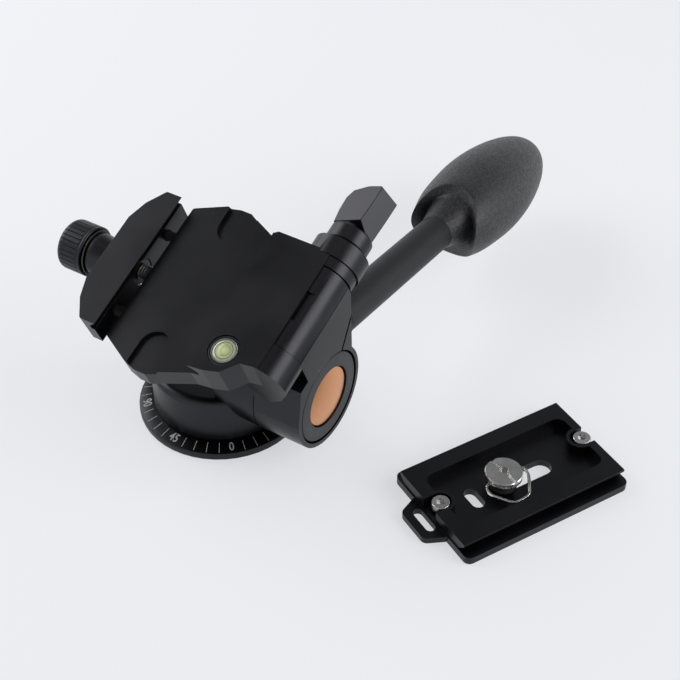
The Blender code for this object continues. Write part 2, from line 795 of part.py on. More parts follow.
def build_tilt_arm(frame):
    start = BARREL_END + CLEAR
    arm = rod("tilt_arm", BARREL_RADIUS, start, ARM_RIGHT, "X", steps=FINE_STEPS)
    foot = COLUMN_FOOT_ANGLE
    root = COLUMN_ROOT_ANGLE
    column = [
        (-BARREL_RADIUS * math.cos(foot), BARREL_RADIUS * math.sin(foot)),
        (COLUMN_NEAR, COLUMN_FRONT_TOP),
        (HEAD_NEAR, COLUMN_FRONT_TOP),
        (HEAD_NEAR, ROLL_Z),
        (HEAD_FAR, ROLL_Z),
        (HEAD_FAR, ROLL_Z - COLUMN_BACK_DROP),
        (COLUMN_FAR, COLUMN_BACK_HEIGHT),
        (BARREL_RADIUS * math.cos(root), BARREL_RADIUS * math.sin(root)),
    ]
    boss = turned(
        "handle_boss",
        [
            (0, HANDLE_BOSS_END),
            (HANDLE_BOSS_RADIUS - BAR_EDGE, HANDLE_BOSS_END),
            (HANDLE_BOSS_RADIUS, HANDLE_BOSS_END - BAR_EDGE),
            (HANDLE_BOSS_RADIUS, -HANDLE_BOSS_START),
            (0, -HANDLE_BOSS_START),
        ],
    )
    boss.data.transform(handle_matrix())
    reach = ROLL_Z - COLUMN_SHOULDER
    swept = [math.pi * (1 + k / SMALL_STEPS) / 2 for k in range(SMALL_STEPS + 1)]
    seat = [
        (ROLL_X + EAR_RADIUS + OVERRUN, ROLL_Z),
        (ROLL_X + EAR_RADIUS + CLEAR, ROLL_Z),
        (ROLL_X + EAR_RADIUS * EAR_FLANK_SHARE + CLEAR * 2, ROLL_Z - EAR_RADIUS),
        (ROLL_X + CLEAR * 2, ROLL_Z - reach),
    ]
    seat += [(ROLL_X + reach * math.cos(angle) / SEAT_SAG, ROLL_Z - reach * math.sin(angle)) for angle in swept]
    seat += [(ROLL_X - reach - OVERRUN, ROLL_Z + OVERRUN), (ROLL_X + EAR_RADIUS + OVERRUN, ROLL_Z + OVERRUN)]
    shoulder_cut = prism("ear_seat", seat, -BARREL_RADIUS - OVERRUN, HEAD_NEAR, "Y")
    join(
        arm,
        prism("column", column, start, ARM_RIGHT, "X"),
        rod("side_tilt_head", HEAD_RADIUS, HEAD_NEAR, HEAD_FAR, "Y", (ROLL_X, 0, ROLL_Z)),
        boss,
    )
    slit = block("clamp_slit", (start - OVERRUN, 0, -SLIT_WIDTH / 2), (ARM_RIGHT + OVERRUN, ROLL_Z + OVERRUN, SLIT_WIDTH / 2))
    slit.data.transform(Matrix.Rotation(SLIT_ANGLE, 4, "X"))
    ring_bore = RING_RADIUS + CLEAR
    ring_floor = journal_end()
    stud_bore = rod("stud_bore", STUD_RADIUS + CLEAR, STUD_START - CLEAR, HANDLE_BOSS_END + OVERRUN, steps=SMALL_STEPS)
    insert_seat = rod("insert_seat", INSERT_RADIUS + CLEAR, INSERT_START - CLEAR, INSERT_START + INSERT_LENGTH + CLEAR, steps=SMALL_STEPS)
    for tool in (stud_bore, insert_seat):
        tool.data.transform(handle_matrix())
    notch = block(
        "head_notch",
        (ROLL_X + NOTCH_FRONT, NOTCH_NEAR, ROLL_Z + HEAD_RADIUS - NOTCH_DEPTH),
        (ROLL_X + NOTCH_FRONT + HEAD_RADIUS, NOTCH_NEAR + NOTCH_LENGTH, ROLL_Z + HEAD_RADIUS + OVERRUN),
    )
    cut(
        arm,
        shoulder_cut,
        rod("ear_disc_seat", EAR_RADIUS + CLEAR, -BARREL_RADIUS - OVERRUN, HEAD_NEAR, "Y", (ROLL_X, 0, ROLL_Z)),
        rod("collar_bore", JOURNAL_RADIUS + SLEEVE_THICKNESS + CLEAR * 2, start - OVERRUN, ARM_RIGHT + OVERRUN, "X"),
        rod("ring_seat", ring_bore, ring_floor, ARM_RIGHT + OVERRUN, "X", steps=FINE_STEPS),
        slit,
        rod("roll_bore", HEAD_BORE_RADIUS, HEAD_NEAR - OVERRUN, HEAD_FAR + OVERRUN, "Y", (ROLL_X, 0, ROLL_Z)),
        insert_seat,
        stud_bore,
        notch,
    )
    solid(arm, black_metal, frame)
    bush_outer = HEAD_BORE_RADIUS - CLEAR
    bush_inner = bush_outer - ROLL_BUSH_WALL
    for name, low in (
        ("side_tilt_bush_front", HEAD_NEAR + CLEAR),
        ("side_tilt_bush_rear", HEAD_FAR - CLEAR - ROLL_BUSH_LENGTH),
    ):
        bush = tube(name, bush_outer, bush_inner, low, low + ROLL_BUSH_LENGTH, "Y", (ROLL_X, 0, ROLL_Z), SMALL_STEPS * 2)
        solid(bush, brass, frame)


def build_tilt_sleeve(frame):
    low = BARREL_END + CLEAR * 2
    sleeve = tube(
        "tilt_friction_sleeve", JOURNAL_RADIUS + CLEAR + SLEEVE_THICKNESS, JOURNAL_RADIUS + CLEAR, low, journal_end() - CLEAR, "X"
    )
    solid(sleeve, white_plastic, frame)


# Twist handle, whose stud draws the split collar shut


def handle_matrix():
    """From the handle's own frame, whose Z runs out along the bar, to the tilt frame."""
    sine = math.sin(HANDLE_DROP)
    cosine = math.cos(HANDLE_DROP)
    turn = Matrix(((1, 0, 0), (0, -sine, cosine), (0, -cosine, -sine))).to_4x4()
    return Matrix.Translation((HANDLE_X, HANDLE_OFFSET * sine, HANDLE_OFFSET * cosine)) @ turn


def build_handle(frame, joint):
    washer_low = HANDLE_BOSS_END + CLEAR
    bar_low = washer_low + HANDLE_WASHER_THICKNESS + CLEAR
    bore = STUD_RADIUS + CLEAR
    insert_bore = STUD_RADIUS + CLEAR / 2
    insert = tube("handle_thread_insert", INSERT_RADIUS, insert_bore, INSERT_START, INSERT_START + INSERT_LENGTH, steps=SMALL_STEPS)
    insert.data.transform(handle_matrix())
    solid(insert, brass, tilt_frame)
    stud_end = bar_low + STUD_BITE
    solid(rod("handle_stud", STUD_RADIUS, STUD_START, stud_end, steps=SMALL_STEPS), steel, frame, joint)
    washer = tube("handle_washer", HANDLE_WASHER_RADIUS, bore, washer_low, washer_low + HANDLE_WASHER_THICKNESS)
    solid(washer, black_metal, frame, joint)
    bar = [
        (0, BAR_END),
        (BAR_RADIUS - BAR_EDGE, BAR_END),
        (BAR_RADIUS, BAR_END - BAR_EDGE),
        (BAR_RADIUS, bar_low + BAR_EDGE),
        (BAR_RADIUS - BAR_EDGE, bar_low),
        (bore, bar_low),
        (bore, stud_end + CLEAR),
        (0, stud_end + CLEAR),
    ]
    solid(turned("handle_bar", bar), black_metal, frame, joint)
    solid(build_grip(), rubber, frame, joint)


def grip_share(where):
    """The grip's width as a share of its widest, at this share of its length."""
    stations = [place for place, _ in GRIP_SHARES]
    widths = [share for _, share in GRIP_SHARES]
    last = len(stations) - 1
    k = max(i for i in range(last) if stations[i] <= where)
    part_way = (where - stations[k]) / (stations[k + 1] - stations[k])
    before = widths[max(k - 1, 0)]
    after = widths[min(k + 2, last)]
    here, ahead = widths[k], widths[k + 1]
    lean_in = (ahead - before) / 2
    lean_out = (after - here) / 2
    cubed = part_way**3
    squared = part_way**2
    return (
        here * (2 * cubed - 3 * squared + 1)
        + ahead * (3 * squared - 2 * cubed)
        + lean_in * (cubed - 2 * squared + part_way)
        + lean_out * (cubed - squared)
    )


def build_grip():
    shape = bmesh.new()
    rings = []
    for k in range(GRIP_RINGS + 1):
        where = math.sin(math.pi / 2 * k / GRIP_RINGS)
        share = grip_share(where)
        ring = []
        for side in range(GRIP_SIDES):
            angle = math.tau * side / GRIP_SIDES
            x = GRIP_WIDTH / 2 * share * math.cos(angle)
            y = GRIP_DEPTH / 2 * share * math.sin(angle)
            ring.append(shape.verts.new((x, y, GRIP_START + GRIP_LENGTH * where)))
        rings.append(ring)
    for low, high in zip(rings, rings[1:]):
        for side in range(GRIP_SIDES):
            after = (side + 1) % GRIP_SIDES
            shape.faces.new((low[side], low[after], high[after], high[side]))
    shape.faces.new(reversed(rings[0]))
    shape.faces.new(rings[-1])
    mesh = bpy.data.meshes.new("handle_grip")
    shape.to_mesh(mesh)
    shape.free()
    grip = mesh_object("handle_grip", mesh)
    scoop = turned(
        "grip_scoop",
        [
            (0, GRIP_START + GRIP_SCOOP_DEPTH),
            (BAR_RADIUS + CLEAR, GRIP_START + GRIP_SCOOP_DEPTH),
            (GRIP_SCOOP_RADIUS, GRIP_START - CLEAR),
            (GRIP_SCOOP_RADIUS, GRIP_START - OVERRUN),
            (0, GRIP_START - OVERRUN),
        ],
    )
    half = GRIP_WIDTH / 2 * GRIP_SHARES[0][1]
    steps = CORNER_STEPS * 2
    shares = [k / steps for k in range(-steps, steps + 1)]
    valley = [(half * share, GRIP_START + GRIP_RIM_DIP * (1 - share**2)) for share in shares]
    valley += [(half + OVERRUN, GRIP_START - OVERRUN), (-half - OVERRUN, GRIP_START - OVERRUN)]
    rim = prism("grip_rim_valley", valley, -GRIP_DEPTH, GRIP_DEPTH, "Y")
    bore = rod("grip_bore", BAR_RADIUS + CLEAR, GRIP_START - OVERRUN, BAR_END + CLEAR)
    cut(grip, scoop, rim, bore)
    return grip


# Clamp platform, which leans sideways on the roll bolt


def roll_centre(y=0):
    return (ROLL_X, y, ROLL_Z)


def deck_outline():
    """The platform's plan: both long ends bulge out to the tips of the U slots."""
    near = [
        (FLOOR_LEFT, END_HALF),
        (BULGE_LEFT - BULGE_RUN, BULGE_HALF - BULGE_RISE / 2),
        (BULGE_LEFT, BULGE_HALF),
        (BULGE_RIGHT, BULGE_HALF),
        (BULGE_RIGHT + BULGE_RUN, BULGE_HALF - BULGE_RISE),
        (NECK_X, END_HALF),
    ]
    points = [(x, PLATFORM_MIDDLE - half) for x, half in near]
    points += [
        (LEVEL_X - LEVEL_RADIUS / 2, PLATFORM_MIDDLE - END_HALF + SHOULDER_SET / 2),
        (LEVEL_X + LEVEL_RADIUS / 2, LEVEL_Y - LEVEL_RADIUS * LEVEL_LAND_SHARE),
        (LEVEL_X + LEVEL_RADIUS * LEVEL_LAND_SHARE, EAR_NEAR - SHOULDER_SET / 2),
        (ROLL_X, EAR_NEAR),
        (DECK_EDGE, EAR_NEAR),
        (DECK_EDGE, DECK_FAR),
        (NECK_X + SHOULDER_SET, DECK_FAR),
    ]
    points += [(x, PLATFORM_MIDDLE + half) for x, half in reversed(near)]
    return points


def build_platform(frame, joint):
    radii = [CORNER, CORNER, CORNER, CORNER, CORNER, CORNER * 2, CORNER * 2, CORNER, CORNER, CORNER, 0, 0, CORNER]
    radii += [CORNER] * 6
    deck = prism("clamp_platform", rounded(deck_outline(), radii, 3), DECK_BOTTOM, LIP_HEIGHT)
    centre = roll_centre()
    near_web = [
        (NECK_X + SHOULDER_SET, DECK_BOTTOM + OVERRUN / 4),
        (NECK_X + SHOULDER_SET, DECK_BOTTOM),
        (LEVEL_X, DECK_BOTTOM - WEB_STEP),
        (ROLL_X - EAR_RADIUS, DECK_BOTTOM - WEB_STEP * 2),
        (ROLL_X - EAR_TIP_HALF, ROLL_Z - NEAR_EAR_DROP),
        (ROLL_X, ROLL_Z - NEAR_EAR_DROP),
        (ROLL_X + EAR_RADIUS * EAR_FLANK_SHARE, ROLL_Z - EAR_RADIUS),
        (ROLL_X + EAR_RADIUS, ROLL_Z),
        (ROLL_X, ROLL_Z),
    ]
    inner_near = HEAD_NEAR - CLEAR
    inner_far = HEAD_FAR + CLEAR
    join(
        deck,
        rod("near_ear", EAR_RADIUS, EAR_NEAR, inner_near, "Y", centre),
        prism("near_ear_web", near_web, EAR_NEAR, inner_near, "Y"),
        rod("far_ear", EAR_RADIUS, inner_far, DECK_FAR, "Y", centre),
        rod("far_boss", FAR_BOSS_RADIUS, DECK_FAR - CORNER, DECK_FAR + FAR_BOSS_LENGTH, "Y", centre),
    )
    channel = [
        (JAW_OUTER, FLOOR_HEIGHT),
        (FIXED_LIP_X + DOVETAIL_DEPTH, FLOOR_HEIGHT),
        (FIXED_LIP_X + DOVETAIL_DEPTH, LIP_HEIGHT - DOVETAIL_DEPTH),
        (FIXED_LIP_X, LIP_HEIGHT),
        (FIXED_LIP_X - OVERRUN, LIP_HEIGHT + OVERRUN),
        (JAW_OUTER, LIP_HEIGHT + OVERRUN),
    ]
    length = BULGE_HALF + OVERRUN
    swing = HEAD_RADIUS + CLEAR
    screw_centre = (0, PLATFORM_MIDDLE, CLAMP_SCREW_HEIGHT)
    cut(
        deck,
        prism("dovetail_channel", channel, PLATFORM_MIDDLE - length, PLATFORM_MIDDLE + length, "Y"),
        rod("head_clearance", swing, inner_near, inner_far, "Y", centre),
        block(
            "column_clearance",
            (BARREL_END - CLEAR / 3, inner_near, DECK_BOTTOM - OVERRUN),
            (DECK_EDGE + EAR_RADIUS, inner_far, ROLL_Z + CLEAR),
        ),
        rod("bolt_hole", ROLL_BOLT_RADIUS + CLEAR, EAR_NEAR + BOLT_BLIND - CLEAR, DECK_FAR + FAR_BOSS_LENGTH + OVERRUN, "Y", centre, SMALL_STEPS),
        rod("clamp_screw_hole", CLAMP_SCREW_RADIUS + CLEAR, FLOOR_LEFT - OVERRUN, CLAMP_SCREW_END + CHANNEL_GAP + CLEAR, "X", screw_centre, SMALL_STEPS),
        prism("u_slot_far", stadium_between(U_SLOT_X, U_SLOT_HALF, U_SLOT_FAR, length + PLATFORM_MIDDLE), FLOOR_HEIGHT - U_SLOT_DEPTH, LIP_HEIGHT),
        prism("u_slot_near", stadium_between(U_SLOT_X, U_SLOT_HALF, PLATFORM_MIDDLE - length, U_SLOT_NEAR), FLOOR_HEIGHT - U_SLOT_DEPTH, LIP_HEIGHT),
        rod("level_seat", LEVEL_RADIUS, LIP_HEIGHT - LEVEL_DEPTH, LIP_HEIGHT + OVERRUN, "Z", (LEVEL_X, LEVEL_Y, 0)),
    )
    for name, side in (("guide_pin_front", -1), ("guide_pin_rear", 1)):
        pin_centre = (0, PLATFORM_MIDDLE + side * GUIDE_PIN_SPREAD, CLAMP_SCREW_HEIGHT)
        cut(deck, rod(f"{name}_hole", GUIDE_PIN_RADIUS + CLEAR, FLOOR_LEFT - OVERRUN, FLOOR_LEFT + GUIDE_PIN_BITE + CLEAR, "X", pin_centre, SMALL_STEPS))
        pin = rod(name, GUIDE_PIN_RADIUS, FLOOR_LEFT - GUIDE_PIN_REACH, FLOOR_LEFT + GUIDE_PIN_BITE, "X", pin_centre, SMALL_STEPS)
        solid(pin, black_metal, frame, joint)
    solid(deck, black_metal, frame, joint)
    bolt = rod("side_tilt_bolt", ROLL_BOLT_RADIUS, EAR_NEAR + BOLT_BLIND, wing_start() + WING_BORE_DEPTH - CLEAR, "Y", centre, SMALL_STEPS)
    solid(bolt, steel, frame, joint)
    washer_low = DECK_FAR + FAR_BOSS_LENGTH + CLEAR
    washer = tube("side_tilt_washer", WING_WASHER_RADIUS, ROLL_BOLT_RADIUS + CLEAR, washer_low, washer_low + WING_WASHER_THICKNESS, "Y", centre)
    solid(washer, black_metal, frame, joint)


def stadium_between(x, half, low, high):
    """A slot along Y whose round ends reach from low to high."""
    return stadium(half, (high - low) / 2, (x, (high + low) / 2))


def build_level(frame, joint):
    outer = LEVEL_RADIUS - CLEAR
    bottom = LIP_HEIGHT - LEVEL_DEPTH + CLEAR
    top = LIP_HEIGHT - LEVEL_RIM_DROP
    inner = outer - LEVEL_WALL
    floor = bottom + LEVEL_WALL
    cup = turned(
        "bubble_level_cup",
        [(0, floor), (inner, floor), (inner, top), (outer, top), (outer, bottom), (0, bottom)],
        "Z",
        (LEVEL_X, LEVEL_Y, 0),
    )
    solid(cup, black_metal, frame, joint)
    radius = inner - CLEAR
    vial = turned(
        "bubble_level_vial",
        [
            (0, top),
            (radius * 3 / 5, top - VIAL_CROWN / 4),
            (radius, top - VIAL_CROWN),
            (radius, floor + CLEAR),
            (0, floor + CLEAR),
        ],
        "Z",
        (LEVEL_X, LEVEL_Y, 0),
    )
    solid(vial, green_fluid, frame, joint)


# Moving jaw with the screw and knob that draw it in


def build_jaw(frame, joint):
    lip_x = FLOOR_LEFT - CHANNEL_GAP + JAW_LIP_OVERHANG
    plan = [
        (lip_x, PLATFORM_MIDDLE - JAW_HALF_LENGTH),
        (lip_x, PLATFORM_MIDDLE + JAW_HALF_LENGTH),
        (JAW_OUTER + JAW_CORNER_RUN, PLATFORM_MIDDLE + JAW_HALF_LENGTH),
        (JAW_OUTER + JAW_CORNER_RUN * JAW_CORNER_SHARE, PLATFORM_MIDDLE + JAW_HALF_LENGTH * JAW_SHOULDER_SHARE),
        (JAW_OUTER, PLATFORM_MIDDLE + JAW_FACE_HALF),
        (JAW_OUTER, PLATFORM_MIDDLE - JAW_FACE_HALF),
        (JAW_OUTER + JAW_CORNER_RUN * JAW_CORNER_SHARE, PLATFORM_MIDDLE - JAW_HALF_LENGTH * JAW_SHOULDER_SHARE),
        (JAW_OUTER + JAW_CORNER_RUN, PLATFORM_MIDDLE - JAW_HALF_LENGTH),
    ]
    jaw = prism("clamp_jaw", rounded(plan, [0, 0] + [CORNER] * 6, 3), DECK_BOTTOM, LIP_HEIGHT)
    face = FLOOR_LEFT - CHANNEL_GAP
    inner = lip_x - DOVETAIL_DEPTH
    channel = [
        (face + OVERRUN, DECK_BOTTOM - OVERRUN),
        (face, DECK_BOTTOM - OVERRUN),
        (face, FLOOR_HEIGHT),
        (inner, FLOOR_HEIGHT),
        (inner, LIP_HEIGHT - DOVETAIL_DEPTH),
        (lip_x, LIP_HEIGHT),
        (lip_x + OVERRUN, LIP_HEIGHT + OVERRUN),
    ]
    length = JAW_HALF_LENGTH + OVERRUN
    screw_centre = (0, PLATFORM_MIDDLE, CLAMP_SCREW_HEIGHT)
    clip_seat = face - CLIP_THICKNESS - CLEAR * 2
    cut(
        jaw,
        prism("jaw_dovetail", channel, PLATFORM_MIDDLE - length, PLATFORM_MIDDLE + length, "Y"),
        rod("jaw_screw_hole", CLAMP_SCREW_RADIUS + CLEAR, JAW_OUTER - OVERRUN, face + OVERRUN, "X", screw_centre, SMALL_STEPS),
        rod("clip_seat", CLIP_RADIUS + CLEAR, clip_seat, face + OVERRUN, "X", screw_centre, SMALL_STEPS),
    )
    tip = FLOOR_LEFT - GUIDE_PIN_REACH
    for side in (-1, 1):
        pin_centre = (0, PLATFORM_MIDDLE + side * GUIDE_PIN_SPREAD, CLAMP_SCREW_HEIGHT)
        cut(jaw, rod(f"jaw_pin_hole_{side + 2}", GUIDE_PIN_RADIUS + CLEAR, tip - CHANNEL_GAP, face + OVERRUN, "X", pin_centre, SMALL_STEPS))
    solid(jaw, black_metal, frame, joint)
    collar_high = JAW_OUTER - CLEAR
    collar_low = collar_high - COLLAR_LENGTH
    collar = [
        (COLLAR_FOOT_RADIUS, collar_high),
        (COLLAR_FOOT_RADIUS, collar_high - COLLAR_LENGTH / 4),
        (COLLAR_RADIUS, collar_low + COLLAR_LENGTH / 4),
        (COLLAR_RADIUS, collar_low),
        (CLAMP_SCREW_RADIUS + CLEAR, collar_low),
        (CLAMP_SCREW_RADIUS + CLEAR, collar_high),
    ]
    solid(turned("clamp_knob_collar", collar, "X", screw_centre, closed=True), black_metal, frame, joint)


def build_knob(frame, joint):
    centre = (0, PLATFORM_MIDDLE, CLAMP_SCREW_HEIGHT)
    bore = CLAMP_SCREW_RADIUS + CLEAR
    washer_high = JAW_OUTER - CLEAR * 2 - COLLAR_LENGTH
    washer_low = washer_high - KNOB_WASHER_THICKNESS
    solid(tube("clamp_knob_washer", KNOB_WASHER_RADIUS, bore, washer_low, washer_high, "X", centre), steel, frame, joint)
    knob_high = washer_low - CLEAR
    knob_low = knob_high - KNOB_LENGTH
    grip_low = knob_high - KNOB_BORE_DEPTH
    profile = [
        (0, grip_low),
        (bore, grip_low),
        (bore, knob_high),
        (KNOB_RADIUS - KNOB_CHAMFER / 2, knob_high),
        (KNOB_RADIUS, knob_high - KNOB_CHAMFER / 2),
        (KNOB_RADIUS, knob_low + KNOB_CHAMFER),
        (KNOB_RADIUS - KNOB_CHAMFER, knob_low),
        (0, knob_low),
    ]
    knob = knob_with_flutes(
        "clamp_knob",
        profile,
        "X",
        centre,
        ROUND_STEPS,
        KNOB_FLUTES,
        KNOB_RADIUS,
        KNOB_FLUTE_RADIUS,
        KNOB_FLUTE_SINK,
        knob_low - OVERRUN,
        knob_high - KNOB_BAND,
    )
    solid(knob, black_metal, frame, joint)
    clip_high = FLOOR_LEFT - CHANNEL_GAP - CLEAR
    clip_low = clip_high - CLIP_THICKNESS
    groove = CLAMP_SCREW_RADIUS - CLIP_GROOVE_DEPTH
    thread_high = clip_high + THREAD_PITCH
    turns = round((CLAMP_SCREW_END - thread_high) / THREAD_PITCH) - 1
    crest = CLAMP_SCREW_RADIUS
    profile = [(0, CLAMP_SCREW_END), (crest - THREAD_DEPTH, CLAMP_SCREW_END)]
    for k in range(turns, 0, -1):
        profile += [
            (crest, thread_high + THREAD_PITCH * k),
            (crest - THREAD_DEPTH, thread_high + THREAD_PITCH * k - THREAD_PITCH / 2),
        ]
    profile += [
        (crest, thread_high),
        (crest, clip_high + CLEAR / 2),
        (groove, clip_high + CLEAR / 2),
        (groove, clip_low - CLEAR / 2),
        (crest, clip_low - CLEAR / 2),
        (crest, grip_low + CLEAR),
        (0, grip_low + CLEAR),
    ]
    solid(turned("clamp_screw", profile, "X", centre, SMALL_STEPS), steel, frame, joint)
    clip = tube("clamp_screw_clip", CLIP_RADIUS, groove + CLEAR / 2, clip_low, clip_high, "X", centre, SMALL_STEPS)
    solid(clip, steel, frame, joint)


# Side tilt lever, turned on the end of the roll bolt


def wing_start():
    return DECK_FAR + FAR_BOSS_LENGTH + CLEAR * 2 + WING_WASHER_THICKNESS


def build_wing_lever(frame, joint):
    low = wing_start()
    high = low + WING_HUB_LENGTH + WING_LENGTH
    side = [
        (low, -WING_HUB_RADIUS * WING_NECK_SHARE),
        (low + WING_HUB_LENGTH, -WING_ROOT_THICKNESS / 2),
        (high, -WING_TIP_THICKNESS / 2),
        (high, WING_TIP_THICKNESS / 2),
        (low + WING_HUB_LENGTH, WING_ROOT_THICKNESS / 2),
        (low, WING_HUB_RADIUS * WING_NECK_SHARE),
    ]
    plan = [
        (-WING_WIDTH / 2, low + WING_HUB_LENGTH / 3),
        (WING_WIDTH / 2, low + WING_HUB_LENGTH / 3),
        (WING_WIDTH / 2, high),
        (-WING_WIDTH / 2, high),
    ]
    lever = prism("side_tilt_lever", side, -WING_WIDTH, WING_WIDTH, "X")
    outline = rounded(plan, [CORNER, CORNER, WING_WIDTH * WING_TIP_SHARE, WING_WIDTH * WING_TIP_SHARE], CORNER_STEPS + 2)
    boolean(lever, prism("lever_plan", outline, -WING_WIDTH, WING_WIDTH), "INTERSECT")
    join(lever, rod("lever_hub", WING_HUB_RADIUS, low, low + WING_HUB_LENGTH, "Y"))
    cut(lever, rod("lever_bore", ROLL_BOLT_RADIUS + CLEAR, low - OVERRUN, low + WING_BORE_DEPTH, "Y", steps=SMALL_STEPS))
    solid(lever, black_metal, frame, joint)


# Quick release plate, lying on its camera face


def build_plate(frame):
    slab = rounded(rectangle(SLAB_LENGTH / 2, SLAB_WIDTH / 2), SLAB_CORNER)
    plate = prism("quick_release_plate", slab, PAD_PROUD, SLAB_TOP)
    half = PLATE_WIDTH / 2
    waist = half - (PLATE_TOP - FLANGE_EDGE - SLAB_TOP)
    section = [
        (-waist, SLAB_TOP - PAD_PROUD),
        (waist, SLAB_TOP - PAD_PROUD),
        (waist, SLAB_TOP),
        (half, PLATE_TOP - FLANGE_EDGE),
        (half, PLATE_TOP),
        (-half, PLATE_TOP),
        (-half, PLATE_TOP - FLANGE_EDGE),
        (-waist, SLAB_TOP),
    ]
    rail = prism("dovetail_rail", section, -PLATE_LENGTH / 2, PLATE_LENGTH / 2, "X")
    tab_left = -SLAB_LENGTH / 2 - TAB_REACH
    tab = [
        (-SLAB_LENGTH / 2 + SLAB_CORNER, TAB_HALF_WIDTH),
        (-SLAB_LENGTH / 2, TAB_HALF_WIDTH),
        (tab_left, TAB_TIP_HALF_WIDTH),
        (tab_left, -TAB_TIP_HALF_WIDTH),
        (-SLAB_LENGTH / 2, -TAB_HALF_WIDTH),
        (-SLAB_LENGTH / 2 + SLAB_CORNER, -TAB_HALF_WIDTH),
    ]
    join(plate, rail, prism("strap_tab", rounded(tab, [0, 0, SLAB_CORNER, SLAB_CORNER, 0, 0]), PAD_PROUD, PAD_PROUD + TAB_THICKNESS))
    pocket = rounded(
        [
            (POCKET_LEFT, -POCKET_HALF_WIDTH),
            (POCKET_RIGHT, -POCKET_HALF_WIDTH),
            (POCKET_RIGHT, POCKET_HALF_WIDTH),
            (POCKET_LEFT, POCKET_HALF_WIDTH),
        ],
        PLATE_CORNER * 2,
    )
    slot_middle = (LONG_SLOT_LEFT + LONG_SLOT_RIGHT) / 2
    slot_half = (LONG_SLOT_RIGHT - LONG_SLOT_LEFT) / 2
    strap_x = -SLAB_LENGTH / 2 - STRAP_SLOT_INSET
    low = -OVERRUN
    pocket_tool = prism("plate_pocket", pocket, SLAB_TOP, PLATE_TOP + OVERRUN)
    post_low = SLAB_TOP - PAD_PROUD
    left_post = rod("left_post", NOTCH_RADIUS + POST_WALL, post_low, PLATE_TOP, "Z", (STOP_LEFT_X, STOP_Y, 0))
    right_post = rod("right_post", NOTCH_RADIUS + POST_WALL, post_low, PLATE_TOP, "Z", (STOP_RIGHT_X - CORNER, STOP_Y, 0))
    cut(plate, pocket_tool)
    join(plate, left_post, right_post)
    end = SLAB_LENGTH / 2 + OVERRUN
    notch_start = STOP_RIGHT_X - CORNER - NOTCH_RADIUS
    notch = [
        (notch_start, STOP_Y - NOTCH_RADIUS),
        (end, STOP_Y - NOTCH_RADIUS),
        (end, STOP_Y + NOTCH_RADIUS),
        (notch_start, STOP_Y + NOTCH_RADIUS),
    ]
    notch_end = NOTCH_RADIUS * NEARLY_ALL
    right_notch = rounded(notch, [notch_end, 0, 0, notch_end])
    left_notch = [(STOP_LEFT_X + STOP_RIGHT_X - CORNER - x, y) for x, y in right_notch]
    cut(
        plate,
        prism("right_notch", right_notch, NOTCH_LEDGE, PLATE_TOP + OVERRUN),
        prism("left_notch", left_notch, NOTCH_LEDGE, PLATE_TOP + OVERRUN),
        prism("long_slot", stadium(slot_half, SLOT_HALF_WIDTH, (slot_middle, SLOT_Y)), low, PLATE_TOP),
        prism("cross_slot", stadium(CROSS_SLOT_HALF_WIDTH, CROSS_SLOT_HALF_LENGTH, (CROSS_SLOT_X, SLOT_Y)), low, PLATE_TOP),
        prism("strap_slot", stadium(STRAP_SLOT_HALF_WIDTH, STRAP_SLOT_HALF_LENGTH, (strap_x - STRAP_SLOT_HALF_WIDTH, 0)), low, PLATE_TOP),
    )
    pad_top = PAD_THICKNESS
    for name, side in (("camera_pad_front", -1), ("camera_pad_rear", 1)):
        middle = (0, side * PAD_OFFSET)
        seat = rounded(rectangle(PAD_LENGTH / 2 + CLEAR, PAD_WIDTH / 2 + CLEAR, middle), PLATE_CORNER)
        cut(plate, prism(f"{name}_seat", seat, low, pad_top + CLEAR))
        pad = prism(name, rounded(rectangle(PAD_LENGTH / 2, PAD_WIDTH / 2, middle), PLATE_CORNER), 0, pad_top)
        solid(pad, rubber, frame)
    for name, x in (("stop_screw_left", STOP_LEFT_X), ("stop_screw_right", STOP_RIGHT_X)):
        cut(plate, rod(f"{name}_hole", STOP_SHANK_RADIUS + CLEAR, low, PLATE_TOP, "Z", (x, STOP_Y, 0), SMALL_STEPS))
        head_low = NOTCH_LEDGE + STOP_LIFT
        head_high = head_low + STOP_HEAD_HEIGHT
        screw = turned(
            name,
            [
                (0, head_high),
                (STOP_HEAD_RADIUS - CLEAR, head_high),
                (STOP_HEAD_RADIUS, head_high - CLEAR),
                (STOP_HEAD_RADIUS, head_low),
                (STOP_SHANK_RADIUS, head_low),
                (STOP_SHANK_RADIUS, PAD_PROUD + CLEAR),
                (0, PAD_PROUD + CLEAR),
            ],
            "Z",
            (x, STOP_Y, 0),
            SMALL_STEPS * 2,
        )
        hole = prism(f"{name}_hex", hexagon(STOP_HEAD_RADIUS * HEX_SHARE), head_high - STOP_HEX_DEPTH, head_high + OVERRUN, "Z", (x, STOP_Y, 0))
        cut(screw, hole)
        solid(screw, steel, frame)
    solid(plate, black_metal, frame)


def camera_screw_bottom():
    return PAD_PROUD


def collar_bottom():
    return camera_screw_bottom() + CAMERA_SCREW_LENGTH


